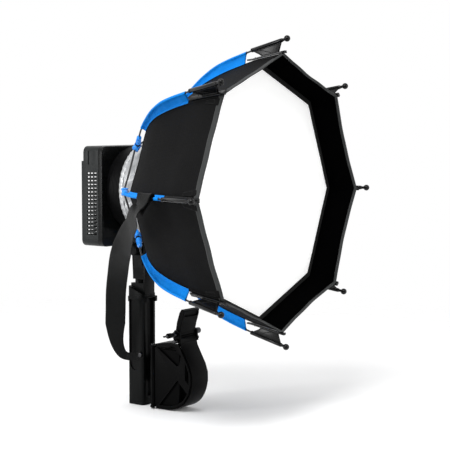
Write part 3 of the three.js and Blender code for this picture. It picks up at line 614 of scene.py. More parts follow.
def shell_point(i, k, s, lift=0.0, back=0.0):
    """Point on gore k, row i, s across it from rib k to rib k + 1; lift is outward in mm."""
    r, y = shell_line[i].x, shell_line[i].y
    a, b = at_rib(k, r, y), at_rib(k + 1, r, y)
    p = a.lerp(b, s)
    mid = (k + 0.5) * math.pi / 4
    n = shell_normal(i)
    out = Vector((n.x * math.cos(mid), n.y, n.x * math.sin(mid))).normalized()
    chord = 2 * r * math.sin(math.pi / 8)
    v = i / NP
    sag = -4.2 * math.sin(math.pi * s) * (0.35 + 0.65 * math.sin(math.pi * min(1, v * 1.05)))
    edge = min(s, 1 - s) * chord
    pucker = 0.55 * math.exp(-edge / 13) * math.sin(shell_len[i] / 3.4 + k * 1.9 + (s > 0.5) * 1.1) * min(1, edge / 3)
    ripple = 0.9 * wob(shell_len[i] / 38, s * 5.5 + k * 2.1, k) * min(1, edge / 22)
    rim = 0.0
    if v > 0.9:
        rim = 0.7 * math.sin(s * 17 + k * 2.3) * math.sin(math.pi * s) * (v - 0.9) * 10
    h = sag + pucker + ripple + rim + lift
    # the free edges are cut a little hollow between the ribs
    t = (shell_line[min(NP, i + 1)] - shell_line[max(0, i - 1)]).normalized()
    along = Vector((t.x * math.cos(mid), t.y, t.x * math.sin(mid))).normalized()
    cut = -3.6 * math.sin(math.pi * s) * max(0, v - 0.7) / 0.3 + 2.4 * math.sin(math.pi * s) * max(0, 0.2 - v) / 0.2
    return p + out * h * MM + along * (cut - back) * MM, out, along


rows = []
for i in range(NP + 1):
    row = []
    for k in range(RIBS):
        for j in range(NS):
            row.append(shell_point(i, k, j / NS)[0])
    rows.append(row)


def canopy_uv(i, j):
    k, s = divmod(j, NS)
    chord = 2 * shell_line[i].x * math.sin(math.pi / 8)
    return ((k * 0.26) + (s / NS - 0.5) * chord * MM, shell_len[i] * MM)


canopy = grid("canopy", rows, MAT["canopy"], uv=canopy_uv, wrap=True)
if canopy.data.polygons[NS * 4].normal.dot(Vector((canopy.data.polygons[NS * 4].center.x, 0, canopy.data.polygons[NS * 4].center.z - 0.502))) < 0:
    canopy.data.flip_normals()
canopy = thick(canopy, 0.0010)
canopy.data.materials.append(MAT["inside"])
canopy.data.materials.append(MAT["silver"])
# inner faces in front of the diffuser take the darker copy, which is painted shade; those further back take the silver
# lining
for pl in canopy.data.polygons:
    c = pl.center
    if pl.normal.x * c.x + pl.normal.z * (c.z - AXIS_Z * MM) < 0 and abs(pl.normal.y) < 0.95:
        pl.material_index = 1 if c.y < -0.318 else 2
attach(canopy, "head")
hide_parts(*[f"shell_panel_{k}" for k in range(1, 9)])

# tape sewn over the front rim and a narrower one over the rear edge
def edge_tape(name, i_edge, sign, leg, mat):
    out_rows, lines = [], []
    prof = [(-leg, 0.55), (-leg * 0.66, 0.62), (-leg * 0.33, 0.62), (-0.8, 0.6), (0.5, 0.35), (1.0, -0.5), (0.5, -1.35),
            (-0.8, -1.6), (-leg * 0.2, -1.62), (-leg * 0.32, -1.62), (-leg * 0.42, -1.55)]
    cols = []
    for k in range(RIBS):
        for j in range(NS):
            s = j / NS
            p, n, t = shell_point(i_edge, k, s)
            if j == 0:
                _, n2, t2 = shell_point(i_edge, (k - 1) % RIBS, 1.0)
                n, t = (n + n2).normalized(), (t + t2).normalized()
            cols.append((p, n, t * sign))
    for a, b in prof:
        out_rows.append([p + t * a * MM + n * b * MM for p, n, t in cols])
    ob = grid(name, out_rows, mat, wrap=True, uv=lambda i, j: (j * 0.0143, i * 0.0025))
    ob = thick(ob, 0.00045, 0.0)
    for side in (0.62 + 0.22, -1.62 - 0.22):
        inset = leg - 2.0 if side > 0 else leg * 0.42 - 1.4
        loop = [(p - t * inset * MM + n * side * MM, n if side > 0 else -n) for p, n, t in cols]
        loop.append(loop[0])
        lines.append(loop)
    st = stitches(name + "_stitches", lines, MAT["thread"])
    return ob, st


front_tape, front_st = edge_tape("rim_binding", NP, 1, 12.7, MAT["binding"])
rear_tape, rear_st = edge_tape("rear_binding", 0, -1, 9.0, MAT["canopy"])
for o, sl in ((front_tape, "shell_fabric"), (front_st, "shell_fabric"), (rear_tape, "shell_fabric"), (rear_st, "shell_fabric")):
    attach(o, "head")

# felled seams under the ribs with two rows of stitching each
seam_objs, seam_lines = [], []
for k in range(RIBS):
    rws = []
    for i in range(1, NP):
        row = []
        chord = 2 * shell_line[i].x * math.sin(math.pi / 8)
        for w in (-7.0, -5.0, -2.4, 0.0, 2.4, 5.0, 7.0):
            lift = 0.5 if abs(w) < 6 else 0.12
            if w < 0:
                p, n, _ = shell_point(i, (k - 1) % RIBS, 1 + w / chord, lift)
            elif w > 0:
                p, n, _ = shell_point(i, k, w / chord, lift)
            else:
                p, n, _ = shell_point(i, k, 0.0, 0.35)
            row.append(p)
        rws.append(row)
    ob = grid(f"seam_{k + 1}", rws, MAT["canopy"], uv=lambda i, j: (j * 0.0023, shell_len[i] * MM))
    seam_objs.append(thick(ob, 0.0003, 0.0))
    for w in (-5.6, 5.6):
        line = []
        for i in range(2, NP - 1):
            chord = 2 * shell_line[i].x * math.sin(math.pi / 8)
            p, n, _ = shell_point(i, (k - 1) % RIBS if w < 0 else k, 1 + w / chord if w < 0 else w / chord, 0.62)
            line.append((p, n))
        seam_lines.append(line)
seams = join_meshes("seam_tapes", seam_objs)
seam_st = stitches("seam_stitches", seam_lines, MAT["thread"], pitch=5.0)
# box-stitched corner patches where each rib's tip pulls on the rim
patch_objs, patch_lines = [], []
for k in range(RIBS):
    for sgn in (-1, 1):
        rws = []
        i0, i1 = NP - 7, NP - 1
        for i in range(i0, i1 + 1):
            chord = 2 * shell_line[i].x * math.sin(math.pi / 8)
            reach = 26.0 - 10.0 * (i1 - i) / (i1 - i0)
            row = []
            for q in range(6):
                w = 7.4 + (reach - 7.4) * q / 5
                s = w / chord
                p, n, _ = shell_point(i, k if sgn > 0 else (k - 1) % RIBS, s if sgn > 0 else 1 - s, 0.75 if 0 < q < 5 else 0.45)
                row.append(p)
            rws.append(row)
        ob = grid(f"patch_{k + 1}_{sgn + 1}", rws, MAT["canopy"], uv=lambda i, j: (j * 0.004, i * 0.006))
        patch_objs.append(thick(ob, 0.0006, 0.0))
        ring_pts = []
        for (i, q) in [(i0, 1), (i0, 4), (i1 - 2, 4), (i1 - 2, 1)]:
            chord = 2 * shell_line[i].x * math.sin(math.pi / 8)
            reach = 26.0 - 10.0 * (i1 - i) / (i1 - i0)
            w = 7.4 + (reach - 7.4) * q / 5
            s = w / chord
            p, n, _ = shell_point(i, k if sgn > 0 else (k - 1) % RIBS, s if sgn > 0 else 1 - s, 1.15)
            ring_pts.append((p, n))
        patch_lines += [[ring_pts[a], ring_pts[(a + 1) % 4]] for a in range(4)]
patches = join_meshes("corner_patches", patch_objs)
patch_st = stitches("patch_stitches", patch_lines, MAT["thread"], pitch=3.6)
for o in (seams, seam_st, patches, patch_st):
    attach(o, "head")

# ------------------------------------------------------------------ diffuser
ND = 26
rows = []
R_D, Y_D = 281.5, -333.0
for i in range(ND + 1):
    f = i / ND
    row = []
    for k in range(RIBS):
        for j in range(NS):
            s = j / NS
            a = at_rib(k, R_D * f, 0)
            b = at_rib(k + 1, R_D * f, 0)
            p = a.lerp(b, s)
            corner = 1 - abs(2 * s - 1)
            y = Y_D - 5.0 * (1 - f * f) + 0.9 * (f ** 3) * math.sin(6 * math.pi * s + k) * math.exp(-3 * corner) + 0.5 * wob(f * 9, s * 6 + k * 2, 3.0) * f
            p.y = y * MM
            row.append(p)
    rows.append(row)
diff = grid("diffuser_cloth", rows, MAT["white"], wrap=True,
            uv=lambda i, j: (R_D * MM * i / ND * math.cos(TAU * j / (NS * 8)), R_D * MM * i / ND * math.sin(TAU * j / (NS * 8))))
bm = bmesh.new()
bm.from_mesh(diff.data)
bmesh.ops.remove_doubles(bm, verts=bm.verts, dist=1e-6)
bm.to_mesh(diff.data)
bm.free()
if diff.data.polygons[300].normal.y > 0:
    diff.data.flip_normals()
diff = thick(diff, 0.0006)
# elastic band sewn round its edge
prof = [(0.0, -0.9), (-5.0, -1.1), (-11.0, -1.0), (-11.0, -0.4)]
rows = []
for a, b in [(1.2, 0.6), (1.6, -0.2), (1.0, -1.1), (-4.0, -1.3), (-9.5, -1.2), (-10.5, -0.7)]:
    row = []
    for k in range(RIBS):
        for j in range(NS):
            s = j / NS
            r = R_D - 0.8 + a
            p = at_rib(k, r, 0).lerp(at_rib(k + 1, r, 0), s)
            gather = 0.45 * math.sin(j * 2.7 + k)
            p.y = (Y_D + b + gather * 0.5) * MM
            row.append(p)
    rows.append(row)
band = grid("diffuser_band", rows, MAT["elastic"], wrap=True, uv=lambda i, j: (j * 0.0136, i * 0.003))
band = thick(band, 0.0005, 0.0)
for o in (diff, band):
    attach(o, "head")
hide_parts("front_diffuser")

# ------------------------------------------------------------------ silver soft collar
NK = 30
sk_line = catmull([(r, y, 0) for r, y in SKIRT], NK)
sk_len = [0.0]
for i in range(1, NK + 1):
    sk_len.append(sk_len[-1] + (sk_line[i] - sk_line[i - 1]).length)
NSK = 30
rows = []
for i in range(NK + 1):
    v = i / NK
    row = []
    for k in range(RIBS):
        for j in range(NSK):
            s = j / NSK
            r, y = sk_line[i].x, sk_line[i].y
            # flat between the ribs at the front, rounder towards the lamp
            flat = at_rib(k, r, y).lerp(at_rib(k + 1, r, y), s)
            ang = (k + s) * math.pi / 4
            rr = r * (math.cos(math.pi / 8) + 0.012)
            rnd = Vector((rr * math.cos(ang) * MM, y * MM, (AXIS_Z + rr * math.sin(ang)) * MM))
            p = flat.lerp(rnd, max(0.0, min(1.0, (v - 0.45) / 0.55)) ** 0.8)
            rad = Vector((math.cos(ang), 0.25, math.sin(ang)))
            fold = math.sin(math.pi * v) * (1.8 * math.sin(ang * 24 + 1.2 * math.sin(ang * 3)) * (0.3 + 0.7 * v)
                                           + 2.4 * wob(ang * 7, v * 6, 5.0))
            # a hollow pleat slants across each gore towards the lamp, with a puffed lobe on both sides
            c = s - (0.42 + 0.22 * math.sin(2.4 * k + 1.0)) - (v - 0.5) * 0.35
            pleat = -9.5 * math.exp(-((c / 0.085) ** 2)) * math.sin(math.pi * min(1, v * 1.05)) ** 0.8
            puff = 5.5 * (math.exp(-(((c - 0.24) / 0.15) ** 2)) + math.exp(-(((c + 0.24) / 0.15) ** 2))) * math.sin(math.pi * v)
            behind = 0.35 if 0.28 < v < 0.62 else 1.0
            p += rad * (min(2.0, fold) + pleat + puff * behind) * MM
            row.append(p)
    rows.append(row)
skirt = grid("silver_collar", rows, MAT["silver"], wrap=True, uv=lambda i, j: (j * 0.0058 * 20 / NSK, sk_len[i] * MM))
pl = skirt.data.polygons[NSK * 8 * 12]
if pl.normal.dot(Vector((pl.center.x, 0, pl.center.z - 0.502))) < 0:
    skirt.data.flip_normals()
skirt = thick(skirt, 0.0007)
# rolled hem at the lamp end, gathered on an elastic
rows = []
for a, b in [(-9.5, -0.9), (-8.5, -1.5), (-4.0, -1.7), (0, -2.3), (1.8, -1.6), (2.2, 0.2), (1.6, 1.6), (-3.0, 1.9)]:
    row = []
    for q in range(320):
        ang = TAU * q / 320
        rr = 112 * (math.cos(math.pi / 8) + 0.012) - b + 0.55 * math.sin(q * 0.95) + (0.17 * -a if a < 0 else 0)
        row.append(Vector((rr * math.cos(ang) * MM, (-26.4 + a) * MM, (AXIS_Z + rr * math.sin(ang)) * MM)))
    rows.append(row)
hem = grid("collar_hem", rows, MAT["silver"], wrap=True, uv=lambda i, j: (j * 0.00205, i * 0.003))
hem = thick(hem, 0.0006, 0.0)
for o in (skirt, hem):
    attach(o, "head")
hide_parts("collar_skirt")

# ------------------------------------------------------------------ blue rod sleeves
NF = 52
rod_line = catmull([(r, y, 0) for r, y in ROD], 220)


def between(line, ya, yb, n):
    P = [p for p in line if yb - 1e-6 <= p.y <= ya + 1e-6]
    return catmull([tuple(p) for p in P[::max(1, len(P) // 24)]] + [tuple(P[-1])], n)


fin_rod = between(rod_line, -120.0, -300.0, NF)
shell_dense = catmull([(r, y, 0) for r, y in SHELL], 400)
fin_seam = between(shell_dense, -127.0, -296.0, NF)


def sleeve_rows(k, i0, i1, wrap_rod):
    rws = []
    for i in range(i0, i1 + 1):
        S, R = fin_seam[i], fin_rod[i]
        e = (R - S)
        L = e.length
        e = e / L
        wave = 0.9 * math.sin(i * 0.33 + k * 1.3) + 0.5 * math.sin(i * 0.9 + k)
        top = L - 5.4 if wrap_rod else L - 9.5
        m1, m2 = 2.6 + (top - 2.6) * 0.35, 2.6 + (top - 2.6) * 0.7
        path = [(-1.0, 5.6), (0.3, 3.2), (1.2, 1.5), (2.6, 0.8), (m1, 0.75), (m2, 0.75)]
        if wrap_rod:
            path += [(L - 5.4, 0.8), (L - 3.6, 1.5)]
            for q in range(11):
                a = math.radians(142 - q * 28.4)
                path.append((L + 3.05 * math.cos(a), 3.05 * math.sin(a)))
            path += [(L - 3.6, -1.5), (L - 5.4, -0.8)]
        else:
            path += [(top, 0.75), (top + 0.6, 0.4), (top + 0.6, -0.4), (top, -0.75)]
        path += [(m2, -0.75), (m1, -0.75), (2.6, -0.8), (1.2, -1.5), (0.3, -3.2), (-1.0, -5.6)]
        row = []
        for a, w in path:
            f = max(0.0, min(1.0, a / L))
            sway = wave * math.sin(math.pi * f) if 0 < f < 1 else 0
            q = S + e * a
            row.append(at_rib(k, q.x, q.y, w + sway))
        rws.append(row)
    return rws


def fin_line(k, a_from_rod, w, i0, i1):
    line = []
    for i in range(i0, i1 + 1):
        S, R = fin_seam[i], fin_rod[i]
        e = (R - S)
        L = e.length
        e = e / L
        wave = 0.9 * math.sin(i * 0.33 + k * 1.3) + 0.5 * math.sin(i * 0.9 + k)
        a = L - a_from_rod if a_from_rod > 0 else -a_from_rod
        sway = wave * math.sin(math.pi * max(0, min(1, a / L)))
        q = S + e * a
        line.append((at_rib(k, q.x, q.y, w + sway + (0.25 if w > 0 else -0.25)),
                     at_rib(k, 0, 0, 1 if w > 0 else -1) - at_rib(k, 0, 0, 0)))
    return line


def cloth_uv(rws):
    def f(i, j):
        j = min(j, len(rws[0]) - 1)
        return (j * 0.0032, i * 0.0036)
    return f


blue_flat = None
for k in range(RIBS):
    spans = [(0, NF, True)]
    if k == 4:
        # open round the rod where the strap's loop passes
        ia = max(i for i in range(NF + 1) if fin_rod[i].y > -233.0)
        ib = min(i for i in range(NF + 1) if fin_rod[i].y < -281.5)
        spans = [(0, ia, True), (ia, ib, False), (ib, NF, True)]
    parts = []
    for i0, i1, wr in spans:
        rws = sleeve_rows(k, i0, i1, wr)
        parts.append(grid(f"s{k}_{i0}", rws, MAT["blue"], uv=cloth_uv(rws)))
    ob = join_meshes(f"rod_sleeve_{k + 1}", parts) if len(parts) > 1 else parts[0]
    ob.name = f"rod_sleeve_{k + 1}"
    one = area_of(ob)
    ob = thick(ob, 0.0005, 0.0)
    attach(ob, "head")
    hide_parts(f"rib_sleeve_{k + 1}")
    lines = []
    for i0, i1, wr in spans:
        if wr:
            lines += [fin_line(k, 6.4, 0.8, i0 + 1, i1 - 1), fin_line(k, 6.4, -0.8, i0 + 1, i1 - 1)]
        lines += [fin_line(k, -3.2, 0.8, i0, i1), fin_line(k, -3.2, -0.8, i0, i1)]
    st = stitches(f"sleeve_stitches_{k + 1}", lines, MAT["thread_blue"], pitch=4.0)
    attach(st, "head")
    if blue_flat is None:
        blue_flat = one

# ------------------------------------------------------------------ ring cord and rod clips
pts = []
for k in range(RIBS):
    for j in range(10):
        s = j / 10
        p = at_rib(k, 139, -66.5).lerp(at_rib(k + 1, 139, -66.5), s)
        sag = 1.4 * math.sin(math.pi * s)
        c = (Vector((0, 0, 0.502)) - p)
        c.y = 0
        pts.append(p + c.normalized() * sag * MM)
pts.append(pts[0])
nn = 12
rows = []
for i, p in enumerate(pts):
    t = (pts[(i + 1) % (len(pts) - 1)] - pts[(i - 1) % (len(pts) - 1)]).normalized()
    up = Vector((0, 1, 0))
    side = t.cross(up).normalized()
    rows.append([p + (up * math.cos(TAU * j / nn) + side * math.sin(TAU * j / nn)) * 0.0022 for j in range(nn)])


def cord_material():
    M = Mat("ring_cord", (0.012, 0.012, 0.013), 0.6, spec=0.4, sheen=0.2)
    u, v, _ = M.split(M.coord("UV"))
    a = M.math("SINE", M.math("ADD", M.math("MULTIPLY", u, TAU / 0.0023), M.math("MULTIPLY", v, TAU / 0.0018)))
    b = M.math("SINE", M.math("SUBTRACT", M.math("MULTIPLY", u, TAU / 0.0023), M.math("MULTIPLY", v, TAU / 0.0018)))
    h = M.remap(M.math("MAXIMUM", a, b), -1, 1)
    M.color(M.mix(h, (0.006, 0.006, 0.006), (0.022, 0.022, 0.023)))
    M.normal(M.bump(h, 0.6, 0.0003))
    return M.m


MAT["cord"] = cord_material()
ring_cord = grid("ring_cord", rows, MAT["cord"], wrap=True, uv=lambda i, j: (j * 0.00115, i * 0.0107))
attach(ring_cord, "head")
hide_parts("speed_ring")

clipA, clipB, clipC = Vector((131.5, -66.6)), Vector((150, -80.6)), Vector((174, -99))
cd, ce = (clipB - clipA).normalized(), (clipC - clipB).normalized()
lab, lbc = (clipB - clipA).length, (clipC - clipB).length
for k in range(RIBS):
    d3 = at_rib(k, cd.x, cd.y) - at_rib(k, 0, 0)
    e3 = at_rib(k, ce.x, ce.y) - at_rib(k, 0, 0)
    wdir = at_rib(k, 0, 0, 1) - at_rib(k, 0, 0, 0)
    parts = []
    # knuckle round the ring cord
    hub = lathe("h", [(0, -8.4), (4.4, -8.4), (5.7, -7.6), (6.2, -5.4), (6.2, -3.6), (5.0, -2.9), (5.0, 2.9), (6.2, 3.6), (6.2, 5.4), (5.7, 7.6), (4.4, 8.4), (0, 8.4)], MAT["clip"], 28)
    parts.append(turned(hub, wdir, at_rib(k, 139.5, -68)))
    # body with a waist and a flange
    body = lathe("b", [(0, 0.2), (3.6, 0.4), (5.2, 1.6), (6.0, 4.0), (6.1, 7.6), (5.2, 8.6), (5.2, 13.6), (6.1, 14.6), (6.3, lab - 5.4), (5.6, lab - 4.4), (0, lab - 4.2)], MAT["clip"], 28)
    parts.append(turned(body, d3, at_rib(k, clipA.x, clipA.y)))
    # side cheeks make the fork
    for sg in (-1, 1):
        def cheek(a, b, w, sg=sg):
            q = clipA + cd * a + Vector((-cd.y, cd.x)) * b
            return at_rib(k, q.x, q.y, w + sg * 6.6)
        parts.append(plate(f"c{sg}", [(0.5, -4.8), (-1.6, 0), (0.5, 4.8), (7, 6.0), (15.5, 4.2), (18.6, 0), (15.5, -4.2), (7, -6.0)], [[(5.4, -1.6), (5.4, 1.6), (8.6, 1.6), (8.6, -1.6)]], 1.3, 0.4, MAT["clip"], cheek))
    # tapering ferrule on the rod
    fer = lathe("f", [(0, 0.6), (5.4, 0.6), (6.1, 1.4), (6.2, 5.0), (6.0, 9.0), (5.6, 14.0), (5.2, 19.5), (5.5, 20.2), (5.5, 23.4), (5.0, 24.6), (4.0, 26.4), (3.2, 28.4), (2.3, 29.2), (0, 29.3)], MAT["clip"], 28)
    parts.append(turned(fer, e3, at_rib(k, clipB.x, clipB.y)))
    for q in range(6):
        a = TAU * q / 6 + 0.3
        rb = tube("g", [at_rib(k, *(clipB + ce * t), 0) + (wdir.normalized() * math.cos(a) + e3.cross(wdir).normalized() * math.sin(a)) * (rr * MM) for t, rr in ((3, 6.1), (9, 5.9), (17, 5.3))], 0.5 * MM, MAT["clip"], 6)
        parts.append(rb)
    blue = join_meshes(f"rod_clip_{k + 1}", parts)
    bnd = lathe("n", [(0, -4.6), (5.8, -4.6), (6.5, -3.9), (6.6, -2.0), (6.5, 0.0), (5.8, 0.7), (0, 0.7)], MAT["black"], 28)
    bnd = turned(bnd, d3, at_rib(k, clipB.x, clipB.y))
    bnd.name = f"clip_band_{k + 1}"
    for o in (blue, bnd):
        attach(o, "head")
    # rods: a smooth version of each, with a resin lustre
    rp = [at_rib(k, p.x, p.y) for p in rod_line[::4]]
    rod = tube(f"rod_{k + 1}", rp, 1.95 * MM, MAT["rod"], 14)
    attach(rod, "head")
    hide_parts(f"rib_rod_{k + 1}")

# ------------------------------------------------------------------ rib tips
tdx, tdy = TIP[0] - TUBE_A[0], TIP[1] - TUBE_A[1]
tlen = math.hypot(tdx, tdy)
tdir2 = Vector((tdx, tdy)) / tlen


def seam_r(y, off=1.1):
    for i in range(1, len(shell_dense)):
        if (shell_dense[i - 1].y - y) * (shell_dense[i].y - y) <= 0:
            f = (y - shell_dense[i - 1].y) / (shell_dense[i].y - shell_dense[i - 1].y)
            return shell_dense[i - 1].x + f * (shell_dense[i].x - shell_dense[i - 1].x) + off
    return shell_dense[-1].x + off


def axis_r(y):
    return TUBE_A[0] + tdx * (y - TUBE_A[1]) / tdy


web_outer = [(axis_r(-317), -317), (seam_r(-341) + 2, -341), (seam_r(-384) + 2, -384), (axis_r(-392), -392)]
foot = [(seam_r(-305) + 5.4, -303.8), (seam_r(-305) + 2.3, -303.8), (seam_r(-318), -318), (seam_r(-345), -345), (seam_r(-372), -372),
        (seam_r(-392), -392), (seam_r(-396.5) - 0.2, -399), (seam_r(-396) + 4.4, -400.3), (seam_r(-390) + 4.2, -391),
        (seam_r(-372) + 3.6, -372), (seam_r(-345) + 3.5, -345), (seam_r(-318) + 3.5, -318)]
hook = [(seam_r(-386) + 0.2, -386), (seam_r(-392) + 4.4, -392), (seam_r(-397) + 4.9, -401.2), (seam_r(-397) - 0.9, -402.3),
        (seam_r(-397) - 0.9, -398.6), (seam_r(-390) + 0.2, -392)]
for k in range(RIBS):
    d3 = at_rib(k, tdir2.x, tdir2.y) - at_rib(k, 0, 0)
    r = 4.55
    prof = [(0, 0.3), (2.2, 0.3), (2.2, -0.1), (3.4, -0.2), (r - 0.4, 0.2), (r, 1.0), (r, 4.6), (r - 0.35, 5.0), (r - 0.35, 6.0), (r, 6.4),
            (r, tlen - 16), (r - 0.2, tlen - 13.8), (3.9, tlen - 12.2), (3.25, tlen - 10.8), (3.1, tlen - 9.4), (3.1, tlen - 7.4), (3.6, tlen - 6.4)]
    for q in range(0, 14):
        a = math.radians(-56 + q * (146 / 13))
        prof.append((6.9 * math.cos(a), tlen + 6.9 * math.sin(a)))
    prof[-1] = (0, tlen + 6.9)
    tb = turned(lathe("t", prof, MAT["tip"], 32, angle=50), d3, at_rib(k, TUBE_A[0], TUBE_A[1]))
    parts = [tb]
    put = lambda a, b, w, k=k: at_rib(k, a, b, w)
    parts.append(plate("wf", web_outer, [], 1.3, 0.35, MAT["tip"], put))
    parts.append(plate("ft", foot, [], 5.3, 0.9, MAT["tip"], put))
    parts.append(plate("hk", hook, [], 4.6, 0.9, MAT["tip"], put))
    # raised border and one diagonal stiffener on both faces of the bracket
    rim_pts = [(axis_r(-321) - 4.6, -320.5), (seam_r(-342) + 4.4, -342.6), (seam_r(-383) + 4.6, -382.6), (axis_r(-389) - 4.8, -389)]
    for sg in (-1, 1):
        for a, b in ((0, 1), (1, 2), (2, 3), (3, 0)):
            parts.append(tube("e", [put(*rim_pts[a], 1.2 * sg), put(*rim_pts[b], 1.2 * sg)], 1.25 * MM, MAT["tip"], 10))
        parts.append(tube("e", [put(axis_r(-333) - 4.5, -333, 1.1 * sg), put(seam_r(-371) + 4, -371, 1.1 * sg)], 1.0 * MM, MAT["tip"], 10))
    # rivets that pinch the foot to the cloth
    for y in (-325, -352, -379):
        for sg in (-1, 1):
            o = lathe("v", [(0, 0), (1.5, 0), (1.45, 0.4), (1.1, 0.8), (0.5, 1.0), (0, 1.02)], MAT["tip"], 14)
            parts.append(turned(o, at_rib(k, 1, 0) - at_rib(k, 0, 0), at_rib(k, seam_r(y) + 3.4, y, sg * 3.4)))
    tip = join_meshes(f"rib_tip_finish_{k + 1}", parts)
    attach(tip, "head")
    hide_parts(f"rib_tip_{k + 1}")

# ------------------------------------------------------------------ lamp head
bevelled("head_shell", MAT["head"], 1.1, seg=3, angle=40)
bevelled("head_bezel", MAT["bezel"], 2.2, seg=4, angle=60, smooth=30)
bevelled("heat_sink", MAT["alu"], 0.3)
bevelled("fan_rotor", MAT["black"], 0.25)
bevelled("dimmer_knob", MAT["rubber"], 0.5)
bevelled("power_button", MAT["bright"], 0.5)
nodes["led_board"].data.materials.clear()
nodes["led_board"].data.materials.append(MAT["led"])

# upright bars divide each side grille into three columns of slots
z0, z1 = 395.0, 543.0
bars = []
for sx in (-1, 1):
    for y in (49.4, 59.6):
        def bar(a, b, w, sx=sx):
            return Vector(((sx * 108.6 + w) * MM, a * MM, b * MM))
        bars.append(plate("bar", [(y - 1.5, z0), (y + 1.5, z0), (y + 1.5, z1), (y - 1.5, z1)], [], 1.15, 0.4, MAT["head"], bar))
grille = join_meshes("side_grille_bars", bars)
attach(grille, "head")

# round collar with a grip lip and fine ribs
prof = [(84.2, 22.6), (95.4, 22.6), (95.9, 22.0)]
y = 19.0
while y > -16:
    prof += [(95.9, y), (95.2, y - 0.5), (95.2, y - 1.4), (95.9, y - 1.9)]
    y -= 4.2
prof += [(95.9, -18.0), (96.6, -19.4), (98.4, -20.2), (99.0, -21.2), (99.0, -28.8), (98.0, -29.9), (86.0, -29.9), (84.2, -28.5), (84.2, 22.6)]
rows = [[Vector((r * math.cos(TAU * j / 96) * MM, yy * MM, (AXIS_Z + r * math.sin(TAU * j / 96)) * MM)) for j in range(96)] for r, yy in prof]
collar = grid("mount_collar_finish", rows, MAT["black"], wrap=True)
bm = bmesh.new()
bm.from_mesh(collar.data)
bmesh.ops.remove_doubles(bm, verts=bm.verts, dist=1e-7)
bmesh.ops.recalc_face_normals(bm, faces=bm.faces)
bm.to_mesh(collar.data)
bm.free()
collar.data.set_sharp_from_angle(angle=math.radians(35))
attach(collar, "head")
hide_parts("mount_collar")

# ------------------------------------------------------------------ tilt joint, grip, cage
bevelled("tilt_arm", MAT["powder"], 0.8)
bevelled("tilt_base", MAT["powder"], 0.8)
bevelled("tilt_knob", MAT["rubber"], 0.7, angle=20, smooth=30)
bevelled("grip_left", MAT["grip"], 1.4, seg=3, angle=28, smooth=32)
bevelled("grip_right", MAT["grip"], 1.4, seg=3, angle=28, smooth=32)
bevelled("grip_foot", MAT["powder"], 0.8, angle=50)
bevelled("guard_band", MAT["cage"], 0.7, angle=40)
bevelled("cage_door", MAT["cage"], 0.9, angle=40)
bevelled("cage_frame", MAT["cage"], 0.9, angle=40)
bevelled("clamp_lever", MAT["cage"], 1.4, seg=3, angle=26)
bevelled("wing_nut", MAT["cage"], 0.8)
bevelled("battery_pack", MAT["battery"], 3.0, seg=4)
saddle = plate("clamp_saddle", [(-137.4, 159), (-134.9, 159), (-134.9, 168.4), (-135.9, 168.8), (-137.0, 168.5)], [], 26.5, 0.3, MAT["battery"], lambda a, b, w: Vector((w * MM, a * MM, b * MM)))
roof = plate("cage_roof", [(-136.2, 157.3), (-116.0, 157.2), (-61.5, 148.8), (-61.5, 147.3), (-116.0, 155.8), (-129.0, 155.8), (-131.5, 149.4), (-137.0, 149.4)],
             [], 27.4, 0.4, MAT["cage"], lambda a, b, w: Vector((w * MM, a * MM, b * MM)))
apron = plate("lever_apron", [(-134.9, 173.8), (-136.9, 173.0), (-136.0, 169.8), (-134.0, 167.6), (-131.0, 170.05)], [], 26.5, 0.25, MAT["battery"],
              lambda a, b, w: Vector((w * MM, a * MM, b * MM)))
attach(apron, "lever")
for o in (saddle, roof):
    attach(o, "grip")
for n, w in (("door_pin", 0.5), ("cross_bolt", 0.8), ("clamp_pin", 0.5), ("strap_screw", 0.4)):
    bevelled(n, MAT["steel"], w)

# ------------------------------------------------------------------ carry strap
STRAP = [(-304, -239.5, 470), (-262, -189.5, 436), (-221, -139.5, 404), (-170, -82, 362), (-123, -34, 318), (-92, -1, 272),
         (-72, 18, 226), (-63, 27, 182), (-57, 27, 146), (-48, 20, 121), (-37, 8, 113), (-28.5, -4, 113.5), (-25.6, -12, 116), (-25.6, -20, 118)]
WIDE = [(-0.30, -0.95, 0), (-0.30, -0.95, 0), (-0.04, -1, 0), (0.33, -0.94, 0), (0.50, -0.87, 0), (0.56, -0.83, 0), (0.60, -0.80, 0),
        (0.60, -0.80, 0), (0.58, -0.78, 0.2), (0.45, -0.55, 0.7), (0.25, -0.3, 0.92), (0.1, 0, 1), (0, 0.05, 1), (0, 0.1, 1)]
# the loop: up the inside of the rod, over it, and down again to the bar tack
LOOP = [(-300.6, -245.4, 476.0), (-298.6, -250.0, 484.0), (-294.0, -255.0, 491.5), (-286.0, -257.2, 499.0), (-284.6, -257.5, 506.5), (-290.4, -257.5, 511.4),
        (-296.8, -257.3, 508.0), (-300.6, -256.0, 500.0), (-302.9, -252.0, 488.0)]
LOOPW = [(-0.30, -0.95, 0)] * 9
path_pts = LOOP + STRAP
path_w = LOOPW + WIDE
# degrees the webbing is twisted about its own run where it leaves the rod
TWIST = [0] * 8 + [12, 27, 29, 25, 6] + [0] * 10
NSTR = 150
line = catmull(path_pts, NSTR)
keys = [0.0]
for i in range(1, len(path_pts)):
    keys.append(keys[-1] + (Vector(path_pts[i]) - Vector(path_pts[i - 1])).length)
total = keys[-1]


def wide_at(f):
    s = f * total
    for i in range(1, len(keys)):
        if s <= keys[i] or i == len(keys) - 1:
            t = (s - keys[i - 1]) / max(1e-9, keys[i] - keys[i - 1])
            t = max(0, min(1, t))
            e = t * t * (3 - 2 * t)
            return Vector(path_w[i - 1]).lerp(Vector(path_w[i]), t), math.radians(TWIST[i - 1] * (1 - e) + TWIST[i] * e)


